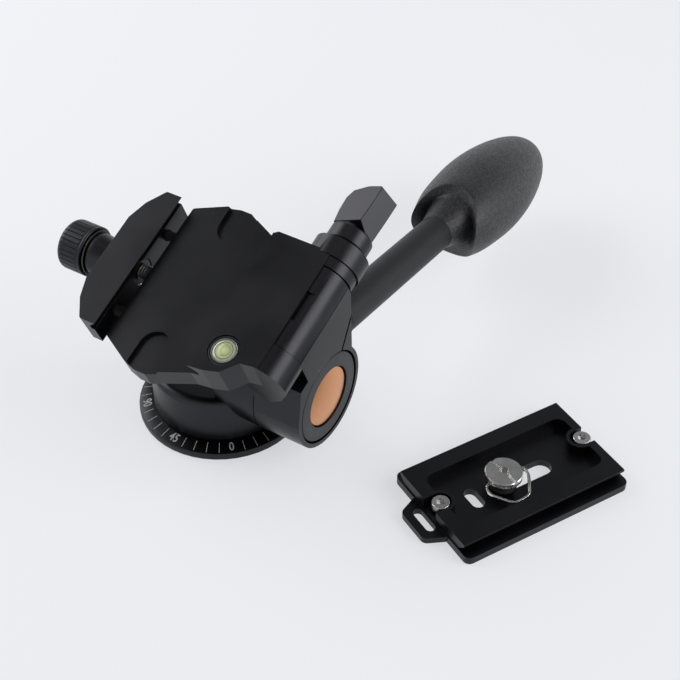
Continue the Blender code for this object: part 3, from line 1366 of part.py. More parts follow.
def build_camera_screw(frame, joint):
    low = camera_screw_bottom()
    collar = collar_bottom()
    head = collar + CAMERA_SCREW_COLLAR_HEIGHT
    top = head + CAMERA_SCREW_HEAD_HEIGHT
    radius = CAMERA_SCREW_HEAD_RADIUS
    screw = turned(
        "camera_screw",
        [
            (0, top),
            (radius - CLEAR, top),
            (radius, top - CLEAR),
            (radius, head),
            (CAMERA_SCREW_COLLAR_RADIUS, head),
            (CAMERA_SCREW_COLLAR_RADIUS, collar),
            (CAMERA_SCREW_RADIUS, collar),
            (CAMERA_SCREW_RADIUS, low + CLEAR),
            (CAMERA_SCREW_RADIUS - CLEAR, low),
            (0, low),
        ],
    )
    half = DRIVER_SLOT_WIDTH / 2
    slot = block("driver_slot", (-radius - OVERRUN, -half, top - DRIVER_SLOT_DEPTH), (radius + OVERRUN, half, top + OVERRUN))
    slot.data.transform(Matrix.Rotation(DRIVER_SLOT_TURN, 4, "Z"))
    pivot_z = collar + CAMERA_SCREW_COLLAR_HEIGHT / 2
    pivot = rod("ring_pivot_hole", RING_WIRE_RADIUS + CLEAR / 3, -radius - OVERRUN, radius + OVERRUN, "X", (0, 0, pivot_z), 12)
    pivot.data.transform(Matrix.Rotation(RING_TURN, 4, "Z"))
    cut(
        screw,
        slot,
        rod("driver_recess", DRIVER_HEX_RADIUS, top - DRIVER_SLOT_DEPTH - CLEAR, top + OVERRUN, steps=SMALL_STEPS),
        pivot,
    )
    solid(screw, steel, frame, joint)
    washer_low = SLAB_TOP + CLEAR
    washer = tube("camera_screw_keeper", CLIP_WASHER_RADIUS, CAMERA_SCREW_RADIUS + CLEAR / 2, washer_low, washer_low + CLIP_WASHER_THICKNESS)
    solid(washer, rubber, frame, joint)


def build_ring(frame, joint):
    """The wire ring that turns the camera screw, drawn in the plane of its pivot."""
    curve = bpy.data.curves.new("camera_screw_ring", "CURVE")
    curve.dimensions = "3D"
    curve.bevel_depth = RING_WIRE_RADIUS
    curve.bevel_resolution = 1
    curve.use_fill_caps = True
    spline = curve.splines.new("POLY")
    path = [
        (-RING_SHOULDER, 0),
        (-RING_SHOULDER, -RING_REACH * RING_SHOULDER_SHARE),
        (-RING_TIP_HALF, -RING_REACH),
        (RING_TIP_HALF, -RING_REACH),
        (RING_SHOULDER, -RING_REACH * RING_SHOULDER_SHARE),
        (RING_SHOULDER, 0),
    ]
    ends = [(-RING_END, 0)] + path + [(RING_END, 0)]
    bend = RING_WIRE_RADIUS * 3
    corners = rounded(ends, [0, bend, bend * 2, bend * 2, bend * 2, bend * 2, bend, 0], 3)
    spline.points.add(len(corners) - 1)
    for point, (x, y) in zip(spline.points, corners):
        point.co = (x, y, 0, 1)
    ring = baked(mesh_object("camera_screw_ring", curve))
    solid(ring, steel, frame, joint)


def turn_to(axis_z, axis_x, centre):
    """A joint's matrix whose Z is the joint axis."""
    z = Vector(axis_z).normalized()
    x = Vector(axis_x).normalized()
    y = z.cross(x)
    turn = Matrix((x, y, z)).transposed().to_4x4()
    return Matrix.Translation(centre) @ turn


def centre_on_ground(root):
    """Moves the root so that the middle of the whole object's footprint is the origin."""
    bpy.context.view_layer.update()
    graph = bpy.context.evaluated_depsgraph_get()
    low = Vector((math.inf,) * 3)
    high = Vector((-math.inf,) * 3)
    for obj in parts.objects:
        if obj.type != "MESH":
            continue
        evaluated = obj.evaluated_get(graph)
        mesh = evaluated.to_mesh()
        for vertex in mesh.vertices:
            point = evaluated.matrix_world @ vertex.co
            low = Vector(map(min, low, point))
            high = Vector(map(max, high, point))
        evaluated.to_mesh_clear()
    root.location = (-(low.x + high.x) / 2, -(low.y + high.y) / 2, -low.z)
    bpy.context.view_layer.update()


clear_scene()
parts = new_collection("three_way_video_head")
cutters = new_collection("cutters", hidden=True)
black_metal = material("black_metal", (0.03, 0.03, 0.033), 0.45, 0.6)
orange_metal = material("orange_metal", (0.78, 0.36, 0.16), 0.35, 0.9)
steel = material("steel", (0.62, 0.62, 0.6), 0.3, 1.0)
brass = material("brass", (0.7, 0.52, 0.26), 0.35, 1.0)
rubber = material("rubber", (0.025, 0.025, 0.027), 0.8, 0.0)
white_plastic = material("white_plastic", (0.8, 0.8, 0.78), 0.5, 0.0)
green_fluid = material("green_fluid", (0.55, 0.75, 0.12), 0.1, 0.0)

head_root = axis_empty("video_head", None, Matrix.Identity(4))
pan_axis = axis_empty("pan_axis", head_root, Matrix.Identity(4))
pan_lock_axis = axis_empty(
    "pan_lock_axis", pan_axis, turn_to((-1, 0, 0), (0, 0, 1), (-HOUSING_RADIUS, 0, PAN_LOCK_HEIGHT))
)
tilt_frame = axis_empty(
    "tilt_axis", pan_axis, Matrix.Translation((0, 0, TILT_HEIGHT)) @ Matrix.Rotation(REST_PITCH, 4, "X")
)
handle_axis = axis_empty("handle_axis", tilt_frame, handle_matrix())
roll_axis = axis_empty("side_tilt_axis", tilt_frame, turn_to((0, 1, 0), (0, 0, 1), roll_centre()))
lever_frame = axis_empty(
    "lever_axis", roll_axis, Matrix.Translation((0, 0, 0)) @ turn_to((0, 0, 1), (1, 0, 0), (0, 0, 0))
)
lever_frame.matrix_local = (
    roll_axis.matrix_world.inverted()
    @ tilt_frame.matrix_world
    @ Matrix.Translation(roll_centre())
    @ Matrix.Rotation(WING_TURN, 4, "Y")
)
jaw_axis = axis_empty("jaw_slide", roll_axis, Matrix.Identity(4))
jaw_axis.matrix_local = (
    roll_axis.matrix_world.inverted()
    @ tilt_frame.matrix_world
    @ turn_to((1, 0, 0), (0, 1, 0), (JAW_OUTER, PLATFORM_MIDDLE, CLAMP_SCREW_HEIGHT))
)
knob_axis = axis_empty("clamp_knob_axis", jaw_axis, Matrix.Identity(4))
plate_frame = axis_empty(
    "plate_lift", head_root, Matrix.Translation((PLATE_X, PLATE_Y, 0)) @ Matrix.Rotation(PLATE_TURN, 4, "Z")
)
camera_screw_axis = axis_empty(
    "camera_screw_axis", plate_frame, Matrix.Translation((CAMERA_SCREW_X, SLOT_Y, 0))
)
ring_axis = axis_empty(
    "ring_axis",
    camera_screw_axis,
    Matrix.Rotation(RING_TURN, 4, "Z")
    @ Matrix.Translation((0, 0, collar_bottom() + CAMERA_SCREW_COLLAR_HEIGHT / 2))
    @ Matrix.Rotation(-RING_SAG, 4, "X"),
)
bpy.context.view_layer.update()

build_base(head_root)
build_spindle(head_root)
build_housing(pan_axis, pan_axis)
build_tilt_shaft(pan_axis, pan_axis)
build_pan_lock(pan_axis, pan_axis, pan_lock_axis)
build_tilt_arm(tilt_frame)
build_tilt_sleeve(tilt_frame)
build_handle(handle_axis, handle_axis)
build_platform(tilt_frame, roll_axis)
build_level(tilt_frame, roll_axis)
build_wing_lever(lever_frame, lever_frame)
build_jaw(tilt_frame, jaw_axis)
build_knob(tilt_frame, knob_axis)
build_plate(plate_frame)
build_camera_screw(camera_screw_axis, camera_screw_axis)
build_ring(ring_axis, ring_axis)
centre_on_ground(head_root)
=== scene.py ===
"""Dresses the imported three-way video head: surfaces get their finish, and fine forms are modelled here."""

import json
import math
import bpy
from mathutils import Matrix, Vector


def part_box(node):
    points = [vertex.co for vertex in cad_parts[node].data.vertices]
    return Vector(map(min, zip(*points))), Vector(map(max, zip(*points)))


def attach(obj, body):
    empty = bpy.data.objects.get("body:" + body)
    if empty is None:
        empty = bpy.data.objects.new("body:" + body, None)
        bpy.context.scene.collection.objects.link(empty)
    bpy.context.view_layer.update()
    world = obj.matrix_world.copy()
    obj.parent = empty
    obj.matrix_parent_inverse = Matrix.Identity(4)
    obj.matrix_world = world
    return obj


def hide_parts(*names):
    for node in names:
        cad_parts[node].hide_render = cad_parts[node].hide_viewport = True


bl_info = {
    "name": "Video head dressing",
    "version": (1, 0, 0),
    "blender": (4, 5, 0),
    "location": "View3D > Sidebar > Video head",
    "description": "Models the finished surfaces of a three-way video head and its release plate",
    "category": "Object",
}

import bmesh
import bpy
from bpy.props import FloatProperty, FloatVectorProperty, IntProperty, PointerProperty
from mathutils import Matrix, Vector

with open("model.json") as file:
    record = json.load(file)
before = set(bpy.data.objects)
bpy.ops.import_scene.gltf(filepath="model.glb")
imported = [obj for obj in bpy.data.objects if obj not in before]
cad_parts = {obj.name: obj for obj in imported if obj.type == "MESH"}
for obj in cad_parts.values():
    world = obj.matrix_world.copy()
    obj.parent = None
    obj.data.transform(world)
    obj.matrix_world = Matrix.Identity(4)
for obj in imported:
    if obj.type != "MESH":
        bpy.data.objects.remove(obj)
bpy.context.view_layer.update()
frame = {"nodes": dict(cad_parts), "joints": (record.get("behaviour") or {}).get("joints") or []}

# Frames of the head, read from its joints and pieces

JOINTS = {joint["name"]: joint for joint in frame["joints"]}
MM = 0.001
MERGE = 0.002 * MM
FLAT_ANGLE = math.radians(0.6)
LEAST_CORNER = math.radians(6.0)
QUARTER = math.pi / 2
PARALLEL = 0.9995
WIDE_FACE = 2.1
TO_RIGHT = Matrix.Rotation(QUARTER, 4, "Y")
TO_LEFT = Matrix.Rotation(-QUARTER, 4, "Y")


def basis(origin, x, y, z):
    turned = Matrix((x, y, z)).transposed().to_4x4()
    return Matrix.Translation(origin) @ turned


def middle(node):
    low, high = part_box(node)
    return (low + high) / 2


def pan_frame():
    at = Vector(JOINTS["pan_turn"]["pos_m"])
    return Matrix.Translation((at.x, at.y, 0))


def tilt_frame():
    x = Vector(JOINTS["tilt_turn"]["axis"]).normalized()
    y = Vector(JOINTS["side_tilt_turn"]["axis"]).normalized()
    return basis(Vector(JOINTS["tilt_turn"]["pos_m"]), x, y, x.cross(y))


def handle_frame():
    z = Vector(JOINTS["handle_twist"]["axis"]).normalized()
    x = Vector((1, 0, 0))
    return basis(Vector(JOINTS["handle_twist"]["pos_m"]), x, z.cross(x), z)


PAN = pan_frame()
TILT = tilt_frame()
HANDLE = handle_frame()
TILT_BACK = TILT.inverted()


def end_of(node, side):
    """The middle of a piece's end along X: side 0 is its low end, side 1 its high end."""
    at = middle(node)
    at.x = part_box(node)[side].x
    return at


def tilt_middle(node):
    """The middle of a piece in the tilt frame."""
    return TILT_BACK @ middle(node)


# Working the meshes


def take(*objects):
    """Leaves only these selected, with the first of them active."""
    if bpy.context.mode != "OBJECT":
        bpy.ops.object.mode_set(mode="OBJECT")
    bpy.ops.object.select_all(action="DESELECT")
    for obj in objects:
        obj.select_set(True)
    bpy.context.view_layer.objects.active = objects[0]


def added(add, name, **settings):
    """What one of Blender's own add operators makes, as the only thing selected."""
    if bpy.context.mode != "OBJECT":
        bpy.ops.object.mode_set(mode="OBJECT")
    bpy.ops.object.select_all(action="DESELECT")
    add(**settings)
    bpy.context.active_object.name = name
    return bpy.context.active_object


def settle():
    """Writes the place, turn and size of what is selected into its mesh."""
    bpy.ops.object.transform_apply(location=True, rotation=True, scale=True)


def edit(obj, kind="VERT", action="DESELECT"):
    take(obj)
    bpy.ops.object.mode_set(mode="EDIT")
    bpy.ops.mesh.select_mode(type=kind)
    bpy.ops.mesh.select_all(action=action)


def edit_done():
    bpy.ops.object.mode_set(mode="OBJECT")


def pick(obj, kind, test):
    """In edit mode, selects the elements of this kind that pass the test, and nothing else."""
    bpy.ops.mesh.select_mode(type=kind)
    bpy.ops.mesh.select_all(action="DESELECT")
    shape = bmesh.from_edit_mesh(obj.data)
    elements = {"VERT": shape.verts, "EDGE": shape.edges, "FACE": shape.faces}[kind]
    shape.normal_update()
    for element in elements:
        if test(element):
            element.select_set(True)
    shape.select_flush_mode()
    bmesh.update_edit_mesh(obj.data)


def apply_modifier(obj, kind, **settings):
    take(obj)
    modifier = obj.modifiers.new(kind.lower(), kind)
    for key, value in settings.items():
        setattr(modifier, key, value)
    bpy.ops.object.modifier_apply(modifier=modifier.name)


def round_edges(obj, width, angle=30.0, segments=2):
    settings = {"limit_method": "ANGLE", "use_clamp_overlap": True, "miter_outer": "MITER_ARC"}
    apply_modifier(obj, "BEVEL", width=width, segments=segments, angle_limit=math.radians(angle), **settings)


def shade(obj, angle=32.0):
    """Smooths by angle, and lets the large faces set the normals so that they stay flat."""
    take(obj)
    bpy.ops.object.shade_smooth_by_angle(angle=math.radians(angle))
    apply_modifier(obj, "WEIGHTED_NORMAL", mode="FACE_AREA", weight=50, keep_sharp=True)


def subdivide_smooth(obj, levels):
    apply_modifier(obj, "SUBSURF", levels=levels, render_levels=levels)


def place(obj, matrix):
    """Puts a piece that was made in a local frame into the head's frame, with its place in its mesh."""
    take(obj)
    obj.matrix_world = matrix @ obj.matrix_world
    settle()
    return obj


def copies(obj, places):
    """A copy of the piece at each place, each with its own mesh, in the stead of the piece itself."""
    made = []
    for matrix in places:
        copy = obj.copy()
        copy.data = obj.data.copy()
        bpy.context.scene.collection.objects.link(copy)
        made.append(place(copy, matrix))
    bpy.data.objects.remove(obj)
    return made


def mended(obj):
    """Merges doubles and points every face outwards."""
    edit(obj, action="SELECT")
    bpy.ops.mesh.remove_doubles(threshold=MERGE)
    bpy.ops.mesh.normals_make_consistent(inside=False)
    edit_done()
    return obj


def joined(name, pieces):
    take(*pieces)
    if len(pieces) > 1:
        bpy.ops.object.join()
    pieces[0].name = name
    pieces[0].data.name = name
    return pieces[0]


def copied(node, name):
    """A clean copy of a solid of the frame, with its flat faces whole again."""
    obj = bpy.data.objects.new(name, frame["nodes"][node].data.copy())
    bpy.context.scene.collection.objects.link(obj)
    edit(obj, action="SELECT")
    bpy.ops.mesh.remove_doubles(threshold=MERGE)
    bpy.ops.mesh.dissolve_limited(angle_limit=FLAT_ANGLE)
    edit_done()
    return obj


def machined(node, name, width, angle=30.0, corners=()):
    """A copy of a machined solid with its sharp edges broken, after the corners asked for are rounded."""
    obj = copied(node, name)
    for radius, test in corners:
        edit(obj, "EDGE")
        pick(obj, "EDGE", test)
        bpy.ops.mesh.bevel(offset=radius, segments=5, clamp_overlap=True)
        edit_done()
    round_edges(obj, width, angle)
    shade(obj)
    return obj


def upright_corner(axis, radius):
    """A test for the edges along the axis that turn a corner between faces wide enough for the radius."""

    def test(edge):
        start, end = (vertex.co for vertex in edge.verts)
        run = end - start
        if run.length < radius or len(edge.link_faces) != 2:
            return False
        along = run.normalized()
        if abs(along.dot(axis)) < PARALLEL or edge.calc_face_angle() < LEAST_CORNER:
            return False
        widths = [max((v.co - start).cross(along).length for v in face.verts) for face in edge.link_faces]
        return min(widths) > WIDE_FACE * radius

    return test


def turned_piece(name, stations, sides, capped=(True, True)):
    """A circle drawn out along Z through stations of radius and height, as on a lathe."""
    radius, height = stations[0]
    circle = {"vertices": sides, "radius": radius, "location": (0, 0, height)}
    obj = added(bpy.ops.mesh.primitive_circle_add, name, **circle)
    settle()
    edit(obj, "EDGE", "SELECT")
    if capped[0]:
        bpy.ops.mesh.edge_face_add()
        pick(obj, "EDGE", lambda edge: True)
    for next_radius, next_height in stations[1:]:
        bpy.ops.mesh.extrude_edges_move(TRANSFORM_OT_translate={"value": (0, 0, next_height - height)})
        share = next_radius / radius
        bpy.ops.transform.resize(value=(share, share, 1), center_override=(0, 0, next_height))
        radius, height = next_radius, next_height
    if capped[1]:
        bpy.ops.mesh.edge_face_add()
    edit_done()
    return mended(obj)


def profile(points, rise=0.0):
    """Stations in metres from radii and heights in millimetres."""
    return [(radius * MM, rise + height * MM) for radius, height in points]


def rounded(radius, height, size, steps):
    """Stations round the edge where a wall of this radius ends at this height and turns inwards."""
    angles = [QUARTER * k / steps for k in range(1, steps + 1)]
    return [(radius - size * (1 - math.cos(a)), height + size * math.sin(a)) for a in angles]


def printed_bar(size, thin, bevel):
    """A bar of paint with rounded corners, only as thick as the paint along the thin axis."""
    bar = added(bpy.ops.mesh.primitive_cube_add, "printed_bar", size=1)
    bar.scale = size
    place(bar, Matrix.Identity(4))
    edit(bar, "EDGE")
    pick(bar, "EDGE", lambda e: abs((e.verts[0].co - e.verts[1].co)[thin]) > size[thin] / 2)
    bpy.ops.mesh.bevel(offset=bevel, segments=2)
    edit_done()
    return bar


def drawn_line(name, points):
    """A line drawn point by point."""
    obj = added(bpy.ops.mesh.primitive_plane_add, name, size=MM, location=points[0])
    settle()
    edit(obj, action="SELECT")
    bpy.ops.mesh.merge(type="CENTER")
    for here, ahead in zip(points, points[1:]):
        step = tuple(b - a for a, b in zip(here, ahead))
        bpy.ops.mesh.extrude_vertices_move(TRANSFORM_OT_translate={"value": step})
    edit_done()
    return obj


def drawn_outline(name, points):
    """A flat face drawn point by point on the ground plane."""
    obj = drawn_line(name, [(x, y, 0.0) for x, y in points])
    edit(obj, action="SELECT")
    bpy.ops.mesh.edge_face_add()
    edit_done()
    return obj


def drawn_out(obj, height):
    """Draws the flat face out along Z into a solid."""
    edit(obj, "FACE", "SELECT")
    bpy.ops.mesh.extrude_region_move(TRANSFORM_OT_translate={"value": (0, 0, height)})
    edit_done()
    return mended(obj)


def reshape(obj, rule):
    """Moves every vertex to where the rule puts it."""
    edit(obj)
    shape = bmesh.from_edit_mesh(obj.data)
    for vertex in shape.verts:
        vertex.co = rule(vertex.co.copy())
    bmesh.update_edit_mesh(obj.data)
    edit_done()
    return obj


def finish(obj, material, body, slot=None, *nodes):
    """Gives a new piece its finish, hangs it on its body and hides the solids it stands for."""
    obj.data.materials.clear()
    obj.data.materials.append(material)
    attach(obj, body)
    if nodes:
        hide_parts(*nodes)
    return obj


def dressed(node, name, body, width, kind="black", **edges):
    """A machined copy with its finish, which takes the place of the solid."""
    slot = "black_anodised" if kind == "black" else "steel"
    return finish(machined(node, name, width, **edges), FINISHES[kind], body, slot, node)


def paint(kind, *nodes):
    """Gives solids of the frame their finish where they are."""
    for node in nodes:
        obj = frame["nodes"][node]
        if not obj.material_slots:
            obj.data.materials.append(FINISHES[kind])
        for entry in obj.material_slots:
            entry.material = FINISHES[kind]


# Finishes


def new_material(name, colour, roughness, metallic):
    made = bpy.data.materials.new(name)
    made.use_nodes = True
    shader = made.node_tree.nodes["Principled BSDF"]
    shader.inputs["Base Color"].default_value = (*colour, 1.0)
    shader.inputs["Roughness"].default_value = roughness
    shader.inputs["Metallic"].default_value = metallic
    made.diffuse_color = (*colour, 1.0)
    return made, made.node_tree, shader


def add_node(tree, kind, inputs=None, **settings):
    node = tree.nodes.new(kind)
    for key, value in settings.items():
        setattr(node, key, value)
    for key, value in (inputs or {}).items():
        if isinstance(value, bpy.types.NodeSocket):
            tree.links.new(value, node.inputs[key])
        else:
            node.inputs[key].default_value = value
    return node


def object_place(tree):
    return tree.nodes.new("ShaderNodeTexCoord").outputs["Object"]


def noise(tree, place_socket, scale, detail=2.0, roughness=0.5):
    inputs = {"Vector": place_socket, "Scale": scale, "Detail": detail, "Roughness": roughness}
    return add_node(tree, "ShaderNodeTexNoise", inputs).outputs["Fac"]


def ranged(tree, value, low, high, from_low=0.3, from_high=0.7):
    inputs = {"Value": value, "From Min": from_low, "From Max": from_high, "To Min": low, "To Max": high}
    return add_node(tree, "ShaderNodeMapRange", inputs).outputs["Result"]


def maths(tree, operation, *values):
    return add_node(tree, "ShaderNodeMath", dict(enumerate(values)), operation=operation).outputs["Value"]


def two_colours(tree, factor, first, second):
    node = add_node(tree, "ShaderNodeMix", data_type="RGBA")
    tree.links.new(factor, node.inputs[0])
    node.inputs[6].default_value = (*first, 1.0)
    node.inputs[7].default_value = (*second, 1.0)
    return node.outputs[2]


def bump(tree, shader, height, strength, distance):
    inputs = {"Height": height, "Strength": strength, "Distance": distance}
    node = add_node(tree, "ShaderNodeBump", inputs)
    tree.links.new(node.outputs["Normal"], shader.inputs["Normal"])


def shaded(colour, factor):
    return tuple(channel * factor for channel in colour)


def uneven(name, colour, roughness, metallic, tones, gloss, broad, grain, relief):
    """A finish a little uneven in tone and gloss, over a fine relief."""
    made, tree, shader = new_material(name, colour, roughness, metallic)
    at = object_place(tree)
    slow = noise(tree, at, *broad)
    darker, lighter = (shaded(colour, tone) for tone in tones)
    tree.links.new(two_colours(tree, slow, darker, lighter), shader.inputs["Base Color"])
    tree.links.new(ranged(tree, slow, *gloss), shader.inputs["Roughness"])
    bump(tree, shader, noise(tree, at, *grain), *relief)
    return made, shader


def anodised(name, colour, roughness):
    """Anodised aluminium over a fine bead-blasted surface."""
    gloss = (roughness - 0.03, roughness + 0.04)
    made, _ = uneven(
        name, colour, roughness, metallic=1.0, tones=(0.88, 1.12), gloss=gloss,
        broad=(55.0, 3.0), grain=(4200.0, 2.0, 0.6), relief=(0.1, 0.03 * MM),
    )
    return made


def pebbled_rubber(name, colour, grain_highlight, cell):
    """Moulded rubber with a pebbled skin: small raised grains with darker hollows between them; the grain
    tops are painted lighter, a painted highlight.
    """
    made, tree, shader = new_material(name, colour, 0.45, 0.0)
    shader.inputs["Specular IOR Level"].default_value = 0.5
    at = object_place(tree)
    warp = noise(tree, at, 900.0, 2.0)
    layout = {"Vector": at, "Scale": 1.0 / cell, "Randomness": 1.0}
    cells = add_node(tree, "ShaderNodeTexVoronoi", layout, feature="F1")
    grains = maths(tree, "MULTIPLY", cells.outputs["Distance"], warp)
    shade_factor = ranged(tree, grains, 1.0, 0.0, 0.08, 0.32)
    # The grain tops take the lighter colour, a painted highlight; the hollows keep the darker rubber colour.
    tree.links.new(two_colours(tree, shade_factor, colour, grain_highlight), shader.inputs["Base Color"])
    tree.links.new(ranged(tree, warp, 0.36, 0.52), shader.inputs["Roughness"])
    bump(tree, shader, shade_factor, 0.6, 0.09 * MM)
    return made


def plain_rubber(name, colour):
    made, tree, shader = new_material(name, colour, 0.7, 0.0)
    at = object_place(tree)
    tree.links.new(ranged(tree, noise(tree, at, 300.0, 4.0), 0.6, 0.78), shader.inputs["Roughness"])
    bump(tree, shader, noise(tree, at, 2600.0, 3.0), 0.2, 0.03 * MM)
    return made


def satin_paint(name, colour, roughness):
    """A satin powder coat with a fine orange peel."""
    gloss = (roughness - 0.04, roughness + 0.05)
    made, shader = uneven(
        name, colour, roughness, metallic=0.0, tones=(0.85, 1.15), gloss=gloss,
        broad=(90.0, 3.0), grain=(2400.0, 3.0), relief=(0.16, 0.03 * MM),
    )
    shader.inputs["Specular IOR Level"].default_value = 0.28
    return made


def bright_metal(name, colour, roughness):
    """Turned or plated metal with faint marks in every direction."""
    gloss = (roughness * 0.7, roughness * 1.35)
    made, _ = uneven(
        name, colour, roughness, metallic=1.0, tones=(0.86, 1.0), gloss=gloss,
        broad=(240.0, 4.0), grain=(1500.0, 4.0, 0.7), relief=(0.12, 0.02 * MM),
    )
    return made


def face_turned_metal(name, colour, roughness, centre, axis_turn, line_scale):
    """Metal faced on a lathe: its fine grooves run in circles round the centre."""
    made, tree, shader = new_material(name, colour, roughness, 1.0)
    at = object_place(tree)
    moved = {"Vector": at, "Location": centre, "Rotation": axis_turn}
    mapping = add_node(tree, "ShaderNodeMapping", moved, vector_type="TEXTURE")
    flat = add_node(tree, "ShaderNodeSeparateXYZ", {"Vector": mapping.outputs["Vector"]})
    squares = [maths(tree, "POWER", flat.outputs[k], 2.0) for k in "XY"]
    radius = maths(tree, "SQRT", maths(tree, "ADD", *squares))
    grooves = {"W": radius, "Scale": line_scale, "Detail": 3.0}
    lines = add_node(tree, "ShaderNodeTexNoise", grooves, noise_dimensions="1D").outputs["Fac"]
    broad = noise(tree, at, 160.0, 3.0)
    tree.links.new(two_colours(tree, broad, shaded(colour, 0.9), colour), shader.inputs["Base Color"])
    tree.links.new(ranged(tree, lines, roughness * 0.85, roughness * 1.2), shader.inputs["Roughness"])
    bump(tree, shader, lines, 0.2, 0.02 * MM)
    return made


def printed_paint(name, colour):
    """Screen-printed paint, thin and slightly uneven."""
    made, tree, shader = new_material(name, colour, 0.55, 0.0)
    at = object_place(tree)
    worn = noise(tree, at, 2500.0, 3.0)
    tree.links.new(two_colours(tree, worn, shaded(colour, 0.72), colour), shader.inputs["Base Color"])
    return made


def vial_plastic(name, colour, rim, centre, inner, outer):
    """Clear moulded plastic round coloured fluid: greyer and mottled towards its wall."""
    made, tree, shader = new_material(name, colour, 0.12, 0.0)
    shader.inputs["Coat Weight"].default_value = 0.6
    shader.inputs["Coat Roughness"].default_value = 0.05
    at = object_place(tree)
    ends = {0: at, 1: centre}
    apart = add_node(tree, "ShaderNodeVectorMath", ends, operation="DISTANCE").outputs["Value"]
    blurred = maths(tree, "MULTIPLY_ADD", noise(tree, at, 900.0, 3.0), 1.6 * MM, apart)
    outwards = ranged(tree, blurred, 0.0, 1.0, inner, outer)
    tree.links.new(two_colours(tree, outwards, colour, rim), shader.inputs["Base Color"])
    return made


def colour_of(name, text, default):
    return FloatVectorProperty(name=name, description=text, subtype="COLOR", default=default)


def length_of(name, text, default):
    return FloatProperty(name=name, description=text, default=default * MM, unit="LENGTH")


def power_of(name, text, default):
    return FloatProperty(name=name, description=text, default=default, unit="POWER")


class HeadColours(bpy.types.PropertyGroup):
    """Colours and gloss of the finishes."""

    black: colour_of("Black", "Black anodised aluminium", (0.037, 0.037, 0.041))
    black_roughness: FloatProperty(
        name="Black roughness", description="Roughness of the black", default=0.34, min=0.0, max=1.0
    )
    bar: colour_of("Bar", "Coat of the handle's bar", (0.016, 0.016, 0.018))
    rubber: colour_of("Rubber", "Hollows of the rubber", (0.009, 0.009, 0.010))
    # The grain colour is lighter than the hollows: a painted highlight on the tops of the grains.
    rubber_grain: colour_of("Grain", "Raised grains of the rubber", (0.040, 0.040, 0.043))
    cap: colour_of("End cap", "Orange anodised cap", (0.78, 0.37, 0.18))
    steel: colour_of("Steel", "Nickel and turned steel", (0.62, 0.61, 0.59))
    marks: colour_of("Marks", "Paint of the scales", (0.44, 0.45, 0.46))
    fluid: colour_of("Fluid", "Fluid of the bubble level", (0.60, 0.64, 0.30))
    floor: colour_of("Floor", "The pale floor", (0.86, 0.875, 0.90))


class HeadSizes(bpy.types.PropertyGroup):
    """Sizes of what is modelled here."""

    edge: length_of("Edge", "Width of a broken edge", 0.35)
    fine_edge: length_of("Fine edge", "Width on small pieces", 0.15)
    tick_width: length_of("Tick width", "Width of a scale line", 0.22)
    tick_length: length_of("Tick length", "Length of a scale line", 3.9)
    paint: length_of("Paint", "Thickness of printed paint", 0.03)
    digit_height: length_of("Digit height", "Height of a number", 3.5)
    knob_ribs: IntProperty(name="Knob ribs", description="Ribs round the clamp knob", default=32, min=6)
    pebble: length_of("Pebble", "Size of a grain of the rubber", 0.5)
    thread_pitch: length_of("Thread pitch", "Pitch of the clamp screw", 1.0)


class HeadStage(bpy.types.PropertyGroup):
    """Camera and light of the stage."""

    lens: FloatProperty(name="Lens", description="Focal length on a 36 mm frame", default=75.55)
    key: power_of("Side lights", "Power of the two side lights", 2.2)
    top: power_of("Top light", "Power of the light overhead", 0.3)
    sky: FloatProperty(name="Surroundings", description="Strength of the pale surroundings", default=0.75)


def colours():
    return bpy.context.scene.head_colours


def sizes():
    return bpy.context.scene.head_sizes


FINISHES = {}


def make_finishes():
    own = colours()
    steel = tuple(own.steel)
    marks = tuple(own.marks)
    rubber = tuple(own.rubber)
    cap_middle = middle("tilt_end_cap")
    turned = (0.0, QUARTER, 0.0)
    made = (
        ("black", anodised("black_anodised", tuple(own.black), own.black_roughness)),
        ("bar", satin_paint("bar_coat", tuple(own.bar), 0.5)),
        ("rubber", pebbled_rubber("pebbled_rubber", rubber, tuple(own.rubber_grain), sizes().pebble)),
        ("pad", plain_rubber("pad_rubber", rubber)),
        ("steel", bright_metal("nickel_steel", steel, 0.24)),
        ("chrome", bright_metal("ring_chrome", shaded(steel, 1.3), 0.12)),
        ("dark_steel", bright_metal("blackened_screw", shaded(steel, 0.14), 0.38)),
        ("brass", bright_metal("turned_brass", (0.70, 0.50, 0.22), 0.3)),
        ("nylon", plain_rubber("natural_nylon", (0.78, 0.78, 0.74))),
        ("marks", printed_paint("scale_paint", marks)),
        ("dim_marks", printed_paint("faint_scale_paint", shaded(marks, 0.3))),
        ("cap", face_turned_metal("orange_anodised", tuple(own.cap), 0.36, cap_middle, turned, 5200.0)),
    )
    FINISHES.update(made)


# Pieces


